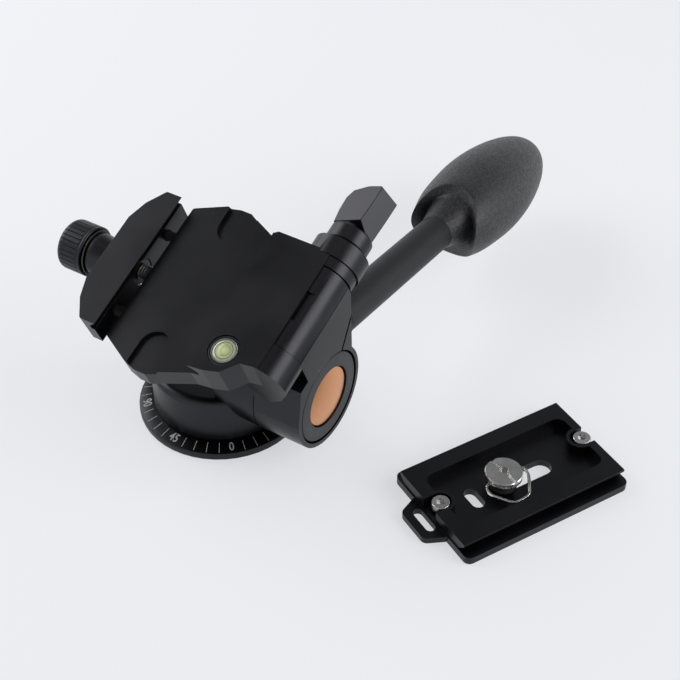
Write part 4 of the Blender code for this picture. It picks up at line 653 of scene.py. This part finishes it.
class HEAD_OT_pan_base(bpy.types.Operator):
    """Pan base: the disc with its scale, and the bush for the tripod's screw"""

    bl_idname = "video_head.pan_base"
    bl_label = "Pan base and scale"

    SLOPE_START = 24.6 * MM
    SLOPE_TOP = 4.6 * MM
    SLOPE_END = 29.65 * MM
    SLOPE_FOOT = 3.2 * MM
    TICK_MIDDLE = 27.3 * MM
    TICK_STEP = 9.0
    TICK_ROUND = 1 / 3
    NUMBER_STEP = 45.0
    ZERO_AT = -47.7
    DIGIT_MIDDLE = 27.2 * MM
    NARROW = 0.78

    def surface(self, radius):
        share = (radius - self.SLOPE_START) / (self.SLOPE_END - self.SLOPE_START)
        return self.SLOPE_TOP + (self.SLOPE_FOOT - self.SLOPE_TOP) * share

    def lean(self):
        return math.atan2(self.SLOPE_TOP - self.SLOPE_FOOT, self.SLOPE_END - self.SLOPE_START)

    def spot(self, radius, degrees):
        """A frame on the sloping scale: X outwards, Z off the surface."""
        turn = Matrix.Rotation(math.radians(degrees), 4, "Z")
        out = Matrix.Translation((radius, 0, self.surface(radius)))
        return PAN @ turn @ out @ Matrix.Rotation(self.lean(), 4, "Y")

    def ticks(self):
        own = sizes()
        size = (own.tick_length, own.tick_width, own.paint)
        line = printed_bar(size, 2, own.tick_width * self.TICK_ROUND)
        turns = [self.TICK_STEP * k for k in range(round(360 / self.TICK_STEP))]
        between = [self.ZERO_AT - turn for turn in turns if turn % self.NUMBER_STEP]
        return copies(line, [self.spot(self.TICK_MIDDLE, degrees) for degrees in between])

    def number(self, value, degrees):
        digits = text_mesh(str(value), sizes().digit_height, self.NARROW)
        upright = Matrix.Rotation(QUARTER, 4, "Z")
        return place(digits, self.spot(self.DIGIT_MIDDLE, degrees) @ upright)

    def execute(self, context):
        dressed("pan_scale_base", "pan_base_disc", "base", sizes().edge)
        numbers = range(0, 360, int(self.NUMBER_STEP))
        printed = [self.number(value, self.ZERO_AT - value) for value in numbers]
        finish(joined("pan_scale_marks", printed + self.ticks()), FINISHES["marks"], "base")
        paint("steel", "tripod_thread_bush", "pan_spindle", "pan_spring_washer", "pan_retaining_nut")
        paint("nylon", "pan_thrust_washer")
        return {"FINISHED"}


EM_PER_HEIGHT = 1.35
STROKE_SWELL = 0.012


def text_mesh(words, height, narrow):
    """Generic digits as a thin mesh, centred on the origin."""
    text = added(bpy.ops.object.text_add, "digits")
    text.data.body = words
    text.data.size = height * EM_PER_HEIGHT
    text.data.align_x = "CENTER"
    text.data.align_y = "CENTER"
    text.data.extrude = sizes().paint / 2
    text.data.resolution_u = 3
    text.data.offset = height * STROKE_SWELL
    text.scale = (narrow, 1, 1)
    bpy.ops.object.convert(target="MESH")
    settle()
    return mended(bpy.context.active_object)


class HEAD_OT_pan_housing(bpy.types.Operator):
    """Pan housing with its barrel, the cap over the pan nut and the friction shaft inside"""

    bl_idname = "video_head.pan_housing"
    bl_label = "Pan housing"

    def execute(self, context):
        dressed("pan_housing", "pan_housing_shell", "pan", sizes().edge)
        dressed("housing_cap", "housing_cap_disc", "pan", sizes().edge)
        paint("steel", "tilt_shaft", "tilt_shaft_screw")
        paint("brass", "pan_lock_pad")
        return {"FINISHED"}


class HEAD_OT_pan_lock(bpy.types.Operator):
    """Pan lock: the fluted knob on the far side and its screw"""

    bl_idname = "video_head.pan_lock"
    bl_label = "Pan lock knob"

    def execute(self, context):
        dressed("pan_lock_knob", "pan_lock_knob_fluted", "pan_lock", sizes().fine_edge)
        paint("steel", "pan_lock_screw")
        return {"FINISHED"}


class HEAD_OT_tilt_scale(bpy.types.Operator):
    """Tilt scale: the black ring with its marks and the orange end cap"""

    bl_idname = "video_head.tilt_scale"
    bl_label = "Tilt scale and end cap"

    RING_MIDDLE = 13.6 * MM
    TICK_LENGTH = 2.4 * MM
    TICK_STEP = 7.5
    TICK_NARROW = 0.8
    TICK_ROUND = 1 / 4
    SPANS = ((-30.0, 60.0), (195.0, 240.0))
    CAP_RADIUS = 10.95 * MM
    CAP_DOME = 0.9 * MM
    CAP_EDGE = 0.5 * MM
    CAP_SIDES = 96
    EDGE_STEPS = 4
    DOME_STEPS = 8
    DOME_OPEN = 0.4

    def ticks(self):
        own = sizes()
        size = (own.paint, self.TICK_LENGTH, own.tick_width * self.TICK_NARROW)
        line = printed_bar(size, 0, own.tick_width * self.TICK_ROUND)
        face = Matrix.Translation(end_of("tilt_scale_ring", 1))
        out = Matrix.Translation((0, self.RING_MIDDLE, 0))
        spots = []
        for start, end in self.SPANS:
            for k in range(round((end - start) / self.TICK_STEP) + 1):
                turn = math.radians(start + self.TICK_STEP * k)
                spots.append(face @ Matrix.Rotation(turn, 4, "X") @ out)
        return copies(line, spots)

    def cap_stations(self, depth):
        """A straight wall, a rounded edge and a low dome."""
        rim = depth - self.CAP_DOME
        wall = rim - self.CAP_EDGE
        stations = [(self.CAP_RADIUS, 0), (self.CAP_RADIUS, wall)]
        stations += rounded(self.CAP_RADIUS, wall, self.CAP_EDGE, self.EDGE_STEPS)
        top = self.CAP_RADIUS - self.CAP_EDGE
        for k in range(1, self.DOME_STEPS + 1):
            share = 1 - k / (self.DOME_STEPS + self.DOME_OPEN)
            stations.append((top * share, rim + self.CAP_DOME * (1 - share**2)))
        return stations

    def execute(self, context):
        dressed("tilt_scale_ring", "tilt_scale_ring_face", "pan", sizes().fine_edge)
        finish(joined("tilt_scale_marks", self.ticks()), FINISHES["dim_marks"], "pan")
        low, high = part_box("tilt_end_cap")
        cap = turned_piece("orange_end_cap", self.cap_stations(high.x - low.x), self.CAP_SIDES)
        place(cap, Matrix.Translation(end_of("tilt_end_cap", 0)) @ TO_RIGHT)
        shade(cap, 40.0)
        finish(cap, FINISHES["cap"], "pan", "orange_anodised", "tilt_end_cap")
        return {"FINISHED"}


class HEAD_OT_tilt_arm(bpy.types.Operator):
    """Tilt arm: the split collar with its column, the index mark and the bushes inside"""

    bl_idname = "video_head.tilt_arm"
    bl_label = "Tilt arm"

    MARK_AT = (45.8 * MM, 0.4 * MM, 18.2 * MM)
    MARK_LENGTH = 1.8 * MM
    MARK_ROUND = 1 / 4

    def execute(self, context):
        dressed("tilt_arm", "tilt_arm_casting", "tilt", sizes().edge)
        own = sizes()
        size = (own.paint, own.tick_width, self.MARK_LENGTH)
        mark = printed_bar(size, 0, own.tick_width * self.MARK_ROUND)
        mark.name = "tilt_index_mark"
        place(mark, TILT @ Matrix.Translation(self.MARK_AT))
        finish(mark, FINISHES["dim_marks"], "tilt")
        paint("brass", "handle_thread_insert", "side_tilt_bush_front", "side_tilt_bush_rear")
        paint("nylon", "tilt_friction_sleeve")
        return {"FINISHED"}


class HEAD_OT_handle(bpy.types.Operator):
    """Handle: the satin bar with its washer and stud, and the rubber grip"""

    bl_idname = "video_head.handle"
    bl_label = "Handle and grip"

    BAR_RADIUS = 6.7 * MM
    BAR_START = 16.4 * MM
    BAR_END = 112.0 * MM
    BAR_EDGE = 0.6 * MM
    SIDES = 64
    START = 92.0 * MM
    END = 168.5 * MM
    HALF_WIDTH = 18.3 * MM
    DEPTH_SHARE = 0.92
    SHIFT_X = (0.34 * MM, -1.04 * MM, -1.04 * MM)
    SHIFT_Y = (0.9 * MM, 0.45 * MM, -0.79 * MM)
    RIM_DIP = 9.5 * MM
    SCOOP = 6.8 * MM
    NECK = 9.6 * MM
    FLARE = 5.0 * MM
    STATIONS = 26
    FACE_STEPS = 7
    WHERE = (0.0, 0.12, 0.25, 0.4, 0.55, 0.7, 0.82, 0.91, 0.97, 1.0)
    WIDTHS = (0.754, 0.896, 0.962, 1.0, 0.967, 0.869, 0.738, 0.585, 0.40, 0.05)
    BAR_NECK = 2.4 * MM
    FLARE_SHARE = 1.01
    FLARE_MARK = -0.25
    SCOOP_CURVE = 1.25
    RIM_CREASE = 0.85

    def width_share(self, where):
        """The grip's width as a share of its widest, on a smooth curve through the widths."""
        at, widths = self.WHERE, self.WIDTHS
        last = len(at) - 1
        k = max(i for i in range(last) if at[i] <= where)
        t = (where - at[k]) / (at[k + 1] - at[k])
        here, ahead = widths[k], widths[k + 1]
        lean_in = (ahead - widths[max(k - 1, 0)]) / 2
        lean_out = (widths[min(k + 2, last)] - here) / 2
        rise = here * (2 * t**3 - 3 * t**2 + 1) + ahead * (3 * t**2 - 2 * t**3)
        return rise + lean_in * (t**3 - 2 * t**2 + t) + lean_out * (t**3 - t**2)

    def shift(self, where):
        """The middle of the grip's section, which wanders a little off the bar."""
        x, y = (a + b * where + c * where**2 for a, b, c in (self.SHIFT_X, self.SHIFT_Y))
        return Vector((x, y))

    def bar(self):
        stations = [
            (self.BAR_RADIUS - self.BAR_EDGE, self.BAR_START),
            (self.BAR_RADIUS, self.BAR_START + self.BAR_EDGE),
            (self.BAR_RADIUS, (self.BAR_START + self.START) / 2),
            (self.BAR_RADIUS, self.START - self.BAR_NECK),
            (self.BAR_RADIUS, self.BAR_END),
        ]
        return place(turned_piece("handle_bar_coated", stations, self.SIDES), HANDLE)

    def grip(self):
        """Outer skin from the tip back to the rim, then the scooped face in to the bar."""
        outer = [math.cos(QUARTER * k / self.STATIONS) for k in range(self.STATIONS)] + [0.0]
        stations = [(self.HALF_WIDTH * self.width_share(w), 1.0 + w) for w in outer]
        inner = [k / self.FACE_STEPS for k in range(1, self.FACE_STEPS + 1)]
        start = self.HALF_WIDTH * self.WIDTHS[0]
        stations += [(start + (self.NECK - start) * v, 1.0 - v) for v in inner]
        stations.append((self.BAR_RADIUS * self.FLARE_SHARE, self.FLARE_MARK))
        grip = turned_piece("rubber_grip", stations, self.SIDES, capped=(True, False))
        span = self.END - self.START

        def shaped(co):
            radius = math.hypot(co.x, co.y)
            cosine, sine = (co.x / radius, co.y / radius) if radius else (1.0, 0.0)
            low = self.START + self.RIM_DIP * sine**2
            if co.z < 0:
                return Vector((co.x, co.y, self.START - self.FLARE))
            inwards = max(0.0, 1.0 - co.z)
            onto = 1.0 - inwards
            height = low + (self.END - low) * max(0.0, co.z - 1.0)
            where = min(1.0, (height - self.START) / span)
            across = self.HALF_WIDTH * self.width_share(where)
            length = across + (self.NECK - across) * inwards
            flat = 1 + (self.DEPTH_SHARE - 1) * onto
            aside = self.shift(where) * onto
            height += (self.START + self.SCOOP - low) * inwards**self.SCOOP_CURVE
            return Vector((length * cosine + aside.x, length * sine * flat + aside.y, height))

        reshape(grip, shaped)
        self.crease_rim(grip)
        subdivide_smooth(grip, 1)
        return place(grip, HANDLE)

    def crease_rim(self, grip):
        """Creases the rim, where the skin turns into the scooped face."""
        last = self.STATIONS * self.SIDES
        edit(grip, "EDGE")
        ring = range(last, last + self.SIDES)
        pick(grip, "EDGE", lambda e: e.verts[0].index in ring and e.verts[1].index in ring)
        bpy.ops.transform.edge_crease(value=self.RIM_CREASE)
        edit_done()

    def execute(self, context):
        bar = self.bar()
        shade(bar)
        finish(bar, FINISHES["bar"], "handle", "black_anodised", "handle_bar")
        grip = self.grip()
        shade(grip, 70.0)
        finish(grip, FINISHES["rubber"], "handle", "rubber", "handle_grip")
        dressed("handle_washer", "handle_washer_ring", "handle", sizes().fine_edge)
        paint("steel", "handle_stud")
        return {"FINISHED"}


class HEAD_OT_platform(bpy.types.Operator):
    """Clamp platform with its guide pins, the roll bolt and the washer under the lever"""

    bl_idname = "video_head.platform"
    bl_label = "Clamp platform"

    CORNER = 2.0 * MM
    SMALL_CORNER = 0.9 * MM

    def execute(self, context):
        up = TILT.col[2].to_3d()
        corners = [(radius, upright_corner(up, radius)) for radius in (self.CORNER, self.SMALL_CORNER)]
        dressed("clamp_platform", "clamp_platform_deck", "platform", sizes().edge, corners=corners)
        dressed("side_tilt_washer", "side_tilt_washer_ring", "platform", sizes().fine_edge)
        paint("dark_steel", "side_tilt_bolt")
        paint("pad", "guide_pin_front", "guide_pin_rear")
        return {"FINISHED"}


class HEAD_OT_bubble_level(bpy.types.Operator):
    """Bubble level: cup, clear body round the fluid, printed ring and bubble"""

    bl_idname = "video_head.bubble_level"
    bl_label = "Bubble level"

    TOP = 41.15 * MM
    BODY = (
        (4.1, -3.2), (4.1, -0.5), (3.98, -0.25), (3.75, -0.1),
        (3.526, 0.0), (2.46, 0.06), (1.23, 0.1), (0.205, 0.12),
    )
    LIP = ((4.2, -0.9), (4.25, -0.1), (4.45, 0.02), (5.25, -0.03), (5.4, -0.9))
    RING = 3.0 * MM
    RING_WIRE = 0.09 * MM
    RING_RISE = 0.07 * MM
    RING_FLAT = 0.4
    WIRE_SIDES = 8
    BUBBLE = 2.3 * MM
    BUBBLE_THICK = 0.28 * MM
    BUBBLE_AT = (0.25 * MM, 0.2 * MM, 0.02 * MM)
    SIDES = 64
    FLUID_RIM = (0.36, 0.39, 0.31)
    FLUID_FADE = (3.0 * MM, 4.4 * MM)
    LIP_COLOURS = ((0.38, 0.41, 0.35), (0.24, 0.26, 0.23))
    LIP_FADE = (4.4 * MM, 6.2 * MM)
    # The bubble's colours: paler in its middle as a painted highlight, darker towards its edge as painted
    # shade.
    BUBBLE_PALER = (1.15, 0.05)
    BUBBLE_RIM = 0.55
    BUBBLE_FADE = (0.8 * MM, 3.2 * MM)

    def ring(self):
        wire = {"major_radius": self.RING, "minor_radius": self.RING_WIRE}
        parts = {"major_segments": self.SIDES, "minor_segments": self.WIRE_SIDES}
        ring = added(bpy.ops.mesh.primitive_torus_add, "level_printed_ring", **wire, **parts)
        ring.scale = (1, 1, self.RING_FLAT)
        return ring

    def bubble(self):
        ball = {"segments": 48, "ring_count": 24, "radius": 1}
        bubble = added(bpy.ops.mesh.primitive_uv_sphere_add, "level_bubble", **ball)
        bubble.scale = (self.BUBBLE, self.BUBBLE, self.BUBBLE_THICK)
        return bubble

    def execute(self, context):
        dressed("bubble_level_cup", "level_cup", "platform", sizes().fine_edge)
        at = tilt_middle("bubble_level_cup")
        on_axis = TILT @ Matrix.Translation((at.x, at.y, 0))
        on_top = on_axis @ Matrix.Translation((0, 0, self.TOP))
        centre = on_top.to_translation()
        fluid = tuple(colours().fluid)
        # The bubble is painted paler than the fluid in its middle, a painted highlight, and darker towards
        # its edge, painted shade.
        gain, lift = self.BUBBLE_PALER
        pale = tuple(min(1.0, channel * gain + lift) for channel in fluid)
        rim = shaded(fluid, self.BUBBLE_RIM)
        body = turned_piece("level_vial_body", profile(self.BODY, self.TOP), self.SIDES)
        shade(place(body, on_axis), 50.0)
        glass = vial_plastic("level_fluid", fluid, self.FLUID_RIM, centre, *self.FLUID_FADE)
        finish(body, glass, "platform", "level_vial", "bubble_level_vial")
        lip_stations = profile(self.LIP, self.TOP)
        lip = turned_piece("level_clear_rim", lip_stations, self.SIDES, capped=(False, False))
        shade(place(lip, on_axis), 50.0)
        clear = vial_plastic("level_rim_plastic", *self.LIP_COLOURS, centre, *self.LIP_FADE)
        finish(lip, clear, "platform", "level_vial")
        ring = place(self.ring(), on_top @ Matrix.Translation((0, 0, self.RING_RISE)))
        shade(ring, 60.0)
        finish(ring, FINISHES["pad"], "platform")
        bubble = place(self.bubble(), on_top @ Matrix.Translation(self.BUBBLE_AT))
        shade(bubble, 60.0)
        skin = vial_plastic("level_bubble_skin", pale, rim, centre, *self.BUBBLE_FADE)
        finish(bubble, skin, "platform", "level_vial")
        return {"FINISHED"}


class HEAD_OT_clamp_jaw(bpy.types.Operator):
    """Moving jaw and the collar between it and the knob"""

    bl_idname = "video_head.clamp_jaw"
    bl_label = "Clamp jaw"

    def execute(self, context):
        dressed("clamp_jaw", "clamp_jaw_bar", "jaw", sizes().edge)
        dressed("clamp_knob_collar", "clamp_knob_neck", "jaw", sizes().edge)
        return {"FINISHED"}


class HEAD_OT_clamp_knob(bpy.types.Operator):
    """Ribbed clamp knob, its bright washer and the threaded clamp screw"""

    bl_idname = "video_head.clamp_knob"
    bl_label = "Clamp knob and screw"

    RADIUS = 9.0 * MM
    LENGTH = 10.6 * MM
    END_ROUND = 2.0 * MM
    END_STEPS = 5
    END_FLAT = 0.8 * MM
    HOLLOW = 2.0 * MM
    BAND_SHAPE = ((8.4, 0.0), (9.0, 0.45), (9.0, 1.25), (8.72, 1.45), (8.72, 1.6), (9.0, 1.8))
    RIBS_START = 1.9 * MM
    RIBS_END = 10.35 * MM
    RIBS_INNER = 7.4 * MM
    RIB_DEPTH = 0.34 * MM
    RIB_WALL = 0.08 * MM
    SIDES_PER_RIB = 4
    THREAD_RADIUS = 3.0 * MM
    THREAD_FORM = ((0.0, 0.45), (0.38, 0.05), (0.5, 0.0), (0.62, 0.05))
    THREAD_SIDES = 24
    CORE_SHARE = 0.8
    CORE_SHORT = 0.1 * MM

    def knob(self):
        span = self.SIDES_PER_RIB * sizes().knob_ribs
        shoulder = self.LENGTH - self.END_ROUND
        stations = profile(self.BAND_SHAPE) + [(self.RADIUS, shoulder)]
        stations += rounded(self.RADIUS, shoulder, self.END_ROUND, self.END_STEPS)
        stations.append((self.RADIUS - self.END_ROUND - self.END_FLAT, self.LENGTH))
        stations.append((self.HOLLOW, self.LENGTH))
        knob = turned_piece("clamp_knob_ribbed", stations, span)
        edit(knob, "FACE")

        def groove(face):
            centre = face.calc_center_median()
            if not self.RIBS_START < centre.z < self.RIBS_END:
                return False
            if math.hypot(centre.x, centre.y) < self.RIBS_INNER:
                return False
            turned = (math.atan2(centre.y, centre.x) % math.tau) / math.tau
            return round(turned * span - 0.5) % self.SIDES_PER_RIB == 0

        pick(knob, "FACE", groove)
        cut = {"thickness": self.RIB_WALL, "depth": -self.RIB_DEPTH}
        bpy.ops.mesh.inset(use_boundary=True, use_even_offset=True, **cut)
        edit_done()
        round_edges(knob, self.RIB_WALL, 40.0, 1)
        shade(knob, 40.0)
        return place(knob, Matrix.Translation(end_of("clamp_knob", 1)) @ TO_LEFT)

    def thread(self, length):
        """One turn's profile is drawn as a line, then screwed along the shank."""
        pitch = sizes().thread_pitch
        turns = math.floor(length / pitch)
        form = self.THREAD_FORM + ((1.0, self.THREAD_FORM[0][1]),)
        points = [(self.THREAD_RADIUS - depth * MM, 0.0, pitch * share) for share, depth in form]
        line = drawn_line("clamp_screw_threaded", points)
        settings = {"axis": "Z", "angle": math.tau, "screw_offset": pitch, "iterations": turns}
        apply_modifier(line, "SCREW", steps=self.THREAD_SIDES, render_steps=self.THREAD_SIDES, **settings)
        mended(line)
        valley = points[0][0] + MERGE
        edit(line)
        pick(line, "VERT", lambda v: v.co.z > turns * pitch + MERGE and math.hypot(v.co.x, v.co.y) < valley)
        bpy.ops.mesh.delete(type="VERT")
        edit_done()
        return line

    def screw(self):
        low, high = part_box("clamp_screw")
        length = high.x - low.x
        core_radius = self.THREAD_RADIUS * self.CORE_SHARE
        thread = self.thread(length)
        core_stations = [(core_radius, 0), (core_radius, length - self.CORE_SHORT)]
        core = turned_piece("screw_core", core_stations, self.THREAD_SIDES)
        whole = joined("clamp_screw_threaded", [thread, core])
        place(whole, Matrix.Translation(end_of("clamp_screw", 0)) @ TO_RIGHT)
        shade(whole, 50.0)
        return whole

    def execute(self, context):
        finish(self.knob(), FINISHES["black"], "clamp_knob", "black_anodised", "clamp_knob")
        fine = sizes().fine_edge
        dressed("clamp_knob_washer", "clamp_knob_washer_ring", "clamp_knob", fine, "dark_steel")
        finish(self.screw(), FINISHES["dark_steel"], "clamp_knob", "steel", "clamp_screw")
        paint("dark_steel", "clamp_screw_clip")
        return {"FINISHED"}


class HEAD_OT_side_lever(bpy.types.Operator):
    """Lever that locks the side tilt: a hub with a hooded wing that overhangs it"""

    bl_idname = "video_head.side_lever"
    bl_label = "Side tilt lever"

    HUB = ((5.4, 0.0), (7.3, 0.0), (7.7, 0.4), (7.7, 5.4), (7.2, 6.1), (5.8, 6.5), (5.4, 9.0))
    LOW = -2.0 * MM
    TOP = 6.0 * MM
    FOOT = (
        (-5.2, 4.0), (-6.2, 11.0), (-6.3, 16.4), (-4.6, 20.0), (-0.8, 21.8),
        (6.4, 22.8), (8.4, 21.6), (8.2, 14.0), (7.6, 3.6),
    )
    CROWN = (
        (-5.7, 6.5), (-6.6, 11.5), (-6.8, 16.8), (-5.4, 20.2), (-1.2, 22.2),
        (5.4, 23.0), (6.3, 22.4), (6.1, 15.0), (5.6, 8.6),
    )
    SIDES = 64
    ROUND = 0.9 * MM
    EDGE = 0.55 * MM
    SEAT_GAP = 0.48 * MM
    TURN = math.radians(-20.0)

    def seat(self):
        """Where the hub stands, with the wing turned back about the roll axis."""
        at = Vector(JOINTS["side_tilt_lever_turn"]["pos_m"])
        turned = (TILT.to_3x3() @ Matrix.Rotation(self.TURN, 3, "Y")).to_4x4()
        start = tilt_middle("side_tilt_washer").y + self.SEAT_GAP
        return Matrix.Translation(at) @ turned @ Matrix.Translation((0, start - (TILT_BACK @ at).y, 0))

    def wing(self):
        foot = [(x * MM, y * MM) for x, y in self.FOOT]
        crown = [(x * MM, y * MM) for x, y in self.CROWN]
        wing = drawn_out(drawn_outline("lever_wing", foot), self.TOP - self.LOW)

        def shaped(co):
            k = min(range(len(foot)), key=lambda i: math.hypot(co.x - foot[i][0], co.y - foot[i][1]))
            x, y = crown[k] if co.z > MM else foot[k]
            return Vector((x, y, self.TOP if co.z > MM else self.LOW))

        reshape(wing, shaped)
        edit(wing, "EDGE")

        def left_edge(edge):
            ends = [v.co for v in edge.verts]
            return all(end.z > 0 and end.x < -MM for end in ends)

        pick(wing, "EDGE", left_edge)
        bpy.ops.mesh.bevel(offset=self.ROUND, segments=3)
        edit_done()
        return wing

    def execute(self, context):
        hub = turned_piece("lever_hub", profile(self.HUB), self.SIDES)
        place(hub, Matrix.Rotation(-QUARTER, 4, "X"))
        lever = joined("side_lock_lever", [self.wing(), hub])
        place(lever, self.seat())
        round_edges(lever, self.EDGE, 24.0, 3)
        shade(lever, 40.0)
        finish(lever, FINISHES["black"], "lever", "black_anodised", "side_tilt_lever")
        return {"FINISHED"}


class HEAD_OT_release_plate(bpy.types.Operator):
    """Quick release plate, lying on its rubber pads, with its two stop screws"""

    bl_idname = "video_head.release_plate"
    bl_label = "Quick release plate"

    def execute(self, context):
        dressed("quick_release_plate", "release_plate_body", "plate", sizes().edge)
        for side in ("left", "right"):
            dressed(f"stop_screw_{side}", f"hex_stop_screw_{side}", "plate", sizes().fine_edge, "steel")
        paint("pad", "camera_pad_front", "camera_pad_rear")
        return {"FINISHED"}


class HEAD_OT_camera_screw(bpy.types.Operator):
    """Camera screw with its slotted head, the keeper washer and the folding wire ring"""

    bl_idname = "video_head.camera_screw"
    bl_label = "Camera screw and ring"

    def execute(self, context):
        dressed("camera_screw", "camera_screw_slotted", "camera_screw", sizes().fine_edge, "steel")
        paint("pad", "camera_screw_keeper")
        ring = machined("camera_screw_ring", "folding_wire_ring", sizes().fine_edge, 60.0)
        shade(ring, 60.0)
        finish(ring, FINISHES["chrome"], "ring", "steel", "camera_screw_ring")
        return {"FINISHED"}


class HEAD_OT_stage(bpy.types.Operator):
    """Pale floor, soft side lights and the camera at the photograph's angle"""

    bl_idname = "video_head.stage"
    bl_label = "Stage"

    TURN = math.radians(32.2)
    RISE = math.radians(41.3)
    CAMERA_AT = (0.19171, -0.35913, 0.35828)
    FLOOR_SIZE = 6.0
    FLOOR_DROP = 0.05 * MM
    GLOW_SHARE = 0.62
    GLOW = 1.06
    LAMP_SHARE = 3.0
    LAMPS = (
        ("left_soft_light", (-0.9, -0.1, 0.55), (0.9, 0.7), "key"),
        ("right_soft_light", (0.95, 0.25, 0.6), (0.9, 0.7), "key"),
        ("overhead_soft_light", (0.0, 0.1, 1.3), (0.8, 0.8), "top"),
    )
    AIM = (0.0, 0.0, 0.03)
    HORIZON = (1.15, 1.17, 1.2)
    ZENITH = (0.13, 0.135, 0.15)

    def floor(self):
        below = (0, 0, -self.FLOOR_DROP)
        floor = added(bpy.ops.mesh.primitive_plane_add, "pale_floor", size=self.FLOOR_SIZE, location=below)
        settle()
        made = bpy.data.materials.new("pale_floor")
        made.use_nodes = True
        tree = made.node_tree
        tree.nodes.clear()
        pale = tuple(colours().floor)
        paths = add_node(tree, "ShaderNodeLightPath")
        seen = paths.outputs["Is Camera Ray"]
        for other in ("Is Glossy Ray", "Is Transmission Ray"):
            seen = maths(tree, "MAXIMUM", seen, paths.outputs[other])
        share = maths(tree, "MULTIPLY", seen, self.GLOW_SHARE)
        lit = add_node(tree, "ShaderNodeBsdfDiffuse", {"Color": (*pale, 1.0)})
        bright = (*shaded(pale, self.GLOW), 1.0)
        glow = add_node(tree, "ShaderNodeEmission", {"Color": bright, "Strength": 1.0})
        ends = {0: share, 1: lit.outputs["BSDF"], 2: glow.outputs["Emission"]}
        mix = add_node(tree, "ShaderNodeMixShader", ends)
        out = add_node(tree, "ShaderNodeOutputMaterial")
        tree.links.new(mix.outputs["Shader"], out.inputs["Surface"])
        floor.data.materials.append(made)

    def light(self, name, at, size, power):
        lamp = added(bpy.ops.object.light_add, name, type="AREA", location=at)
        lamp.data.shape = "RECTANGLE"
        lamp.data.size, lamp.data.size_y = size
        lamp.data.energy = power
        lamp.rotation_euler = (Vector(at) - Vector(self.AIM)).to_track_quat("Z", "Y").to_euler()

    def surroundings(self):
        world = bpy.data.worlds.new("pale_surroundings")
        bpy.context.scene.world = world
        world.use_nodes = True
        tree = world.node_tree
        tree.nodes.clear()
        towards = tree.nodes.new("ShaderNodeTexCoord").outputs["Generated"]
        height = add_node(tree, "ShaderNodeSeparateXYZ", {"Vector": towards}).outputs["Z"]
        lift = ranged(tree, height, 0.0, 1.0, 0.2, 0.85)
        sky = two_colours(tree, lift, self.HORIZON, self.ZENITH)
        strength = bpy.context.scene.head_stage.sky
        background = add_node(tree, "ShaderNodeBackground", {"Color": sky, "Strength": strength})
        out = add_node(tree, "ShaderNodeOutputWorld")
        tree.links.new(background.outputs["Background"], out.inputs["Surface"])

    def camera(self):
        look = (QUARTER - self.RISE, 0, self.TURN)
        camera = added(bpy.ops.object.camera_add, "photo_camera", location=self.CAMERA_AT, rotation=look)
        camera.data.sensor_width = 36
        camera.data.lens = bpy.context.scene.head_stage.lens
        camera.data.clip_start = 0.01
        bpy.context.scene.camera = camera

    def execute(self, context):
        self.floor()
        for name, at, size, power in self.LAMPS:
            self.light(name, at, size, getattr(context.scene.head_stage, power) * self.LAMP_SHARE)
        self.surroundings()
        self.camera()
        context.scene.view_settings.view_transform = "Standard"
        return {"FINISHED"}


class HEAD_PT_panel(bpy.types.Panel):
    """Lists the pieces in the 3D view's sidebar"""

    bl_label = "Video head"
    bl_idname = "HEAD_PT_panel"
    bl_space_type = "VIEW_3D"
    bl_region_type = "UI"
    bl_category = "Video head"

    def draw(self, context):
        layout = self.layout
        for group in (getattr(context.scene, name) for name in GROUPS):
            box = layout.box()
            for name in group.__annotations__:
                box.prop(group, name)
        for operator in OPERATORS:
            layout.operator(operator.bl_idname)


GROUPS = {"head_colours": HeadColours, "head_sizes": HeadSizes, "head_stage": HeadStage}
OPERATORS = (
    HEAD_OT_pan_base,
    HEAD_OT_pan_housing,
    HEAD_OT_pan_lock,
    HEAD_OT_tilt_scale,
    HEAD_OT_tilt_arm,
    HEAD_OT_handle,
    HEAD_OT_platform,
    HEAD_OT_bubble_level,
    HEAD_OT_clamp_jaw,
    HEAD_OT_clamp_knob,
    HEAD_OT_side_lever,
    HEAD_OT_release_plate,
    HEAD_OT_camera_screw,
    HEAD_OT_stage,
)
CLASSES = (*GROUPS.values(), *OPERATORS, HEAD_PT_panel)


def register():
    for made in CLASSES:
        bpy.utils.register_class(made)
    for name, group in GROUPS.items():
        setattr(bpy.types.Scene, name, PointerProperty(type=group))


def unregister():
    for name in GROUPS:
        delattr(bpy.types.Scene, name)
    for made in reversed(CLASSES):
        bpy.utils.unregister_class(made)


def main():
    register()
    make_finishes()
    for operator in OPERATORS:
        module, name = operator.bl_idname.split(".")
        getattr(getattr(bpy.ops, module), name)()


if __name__ == "__main__":
    main()
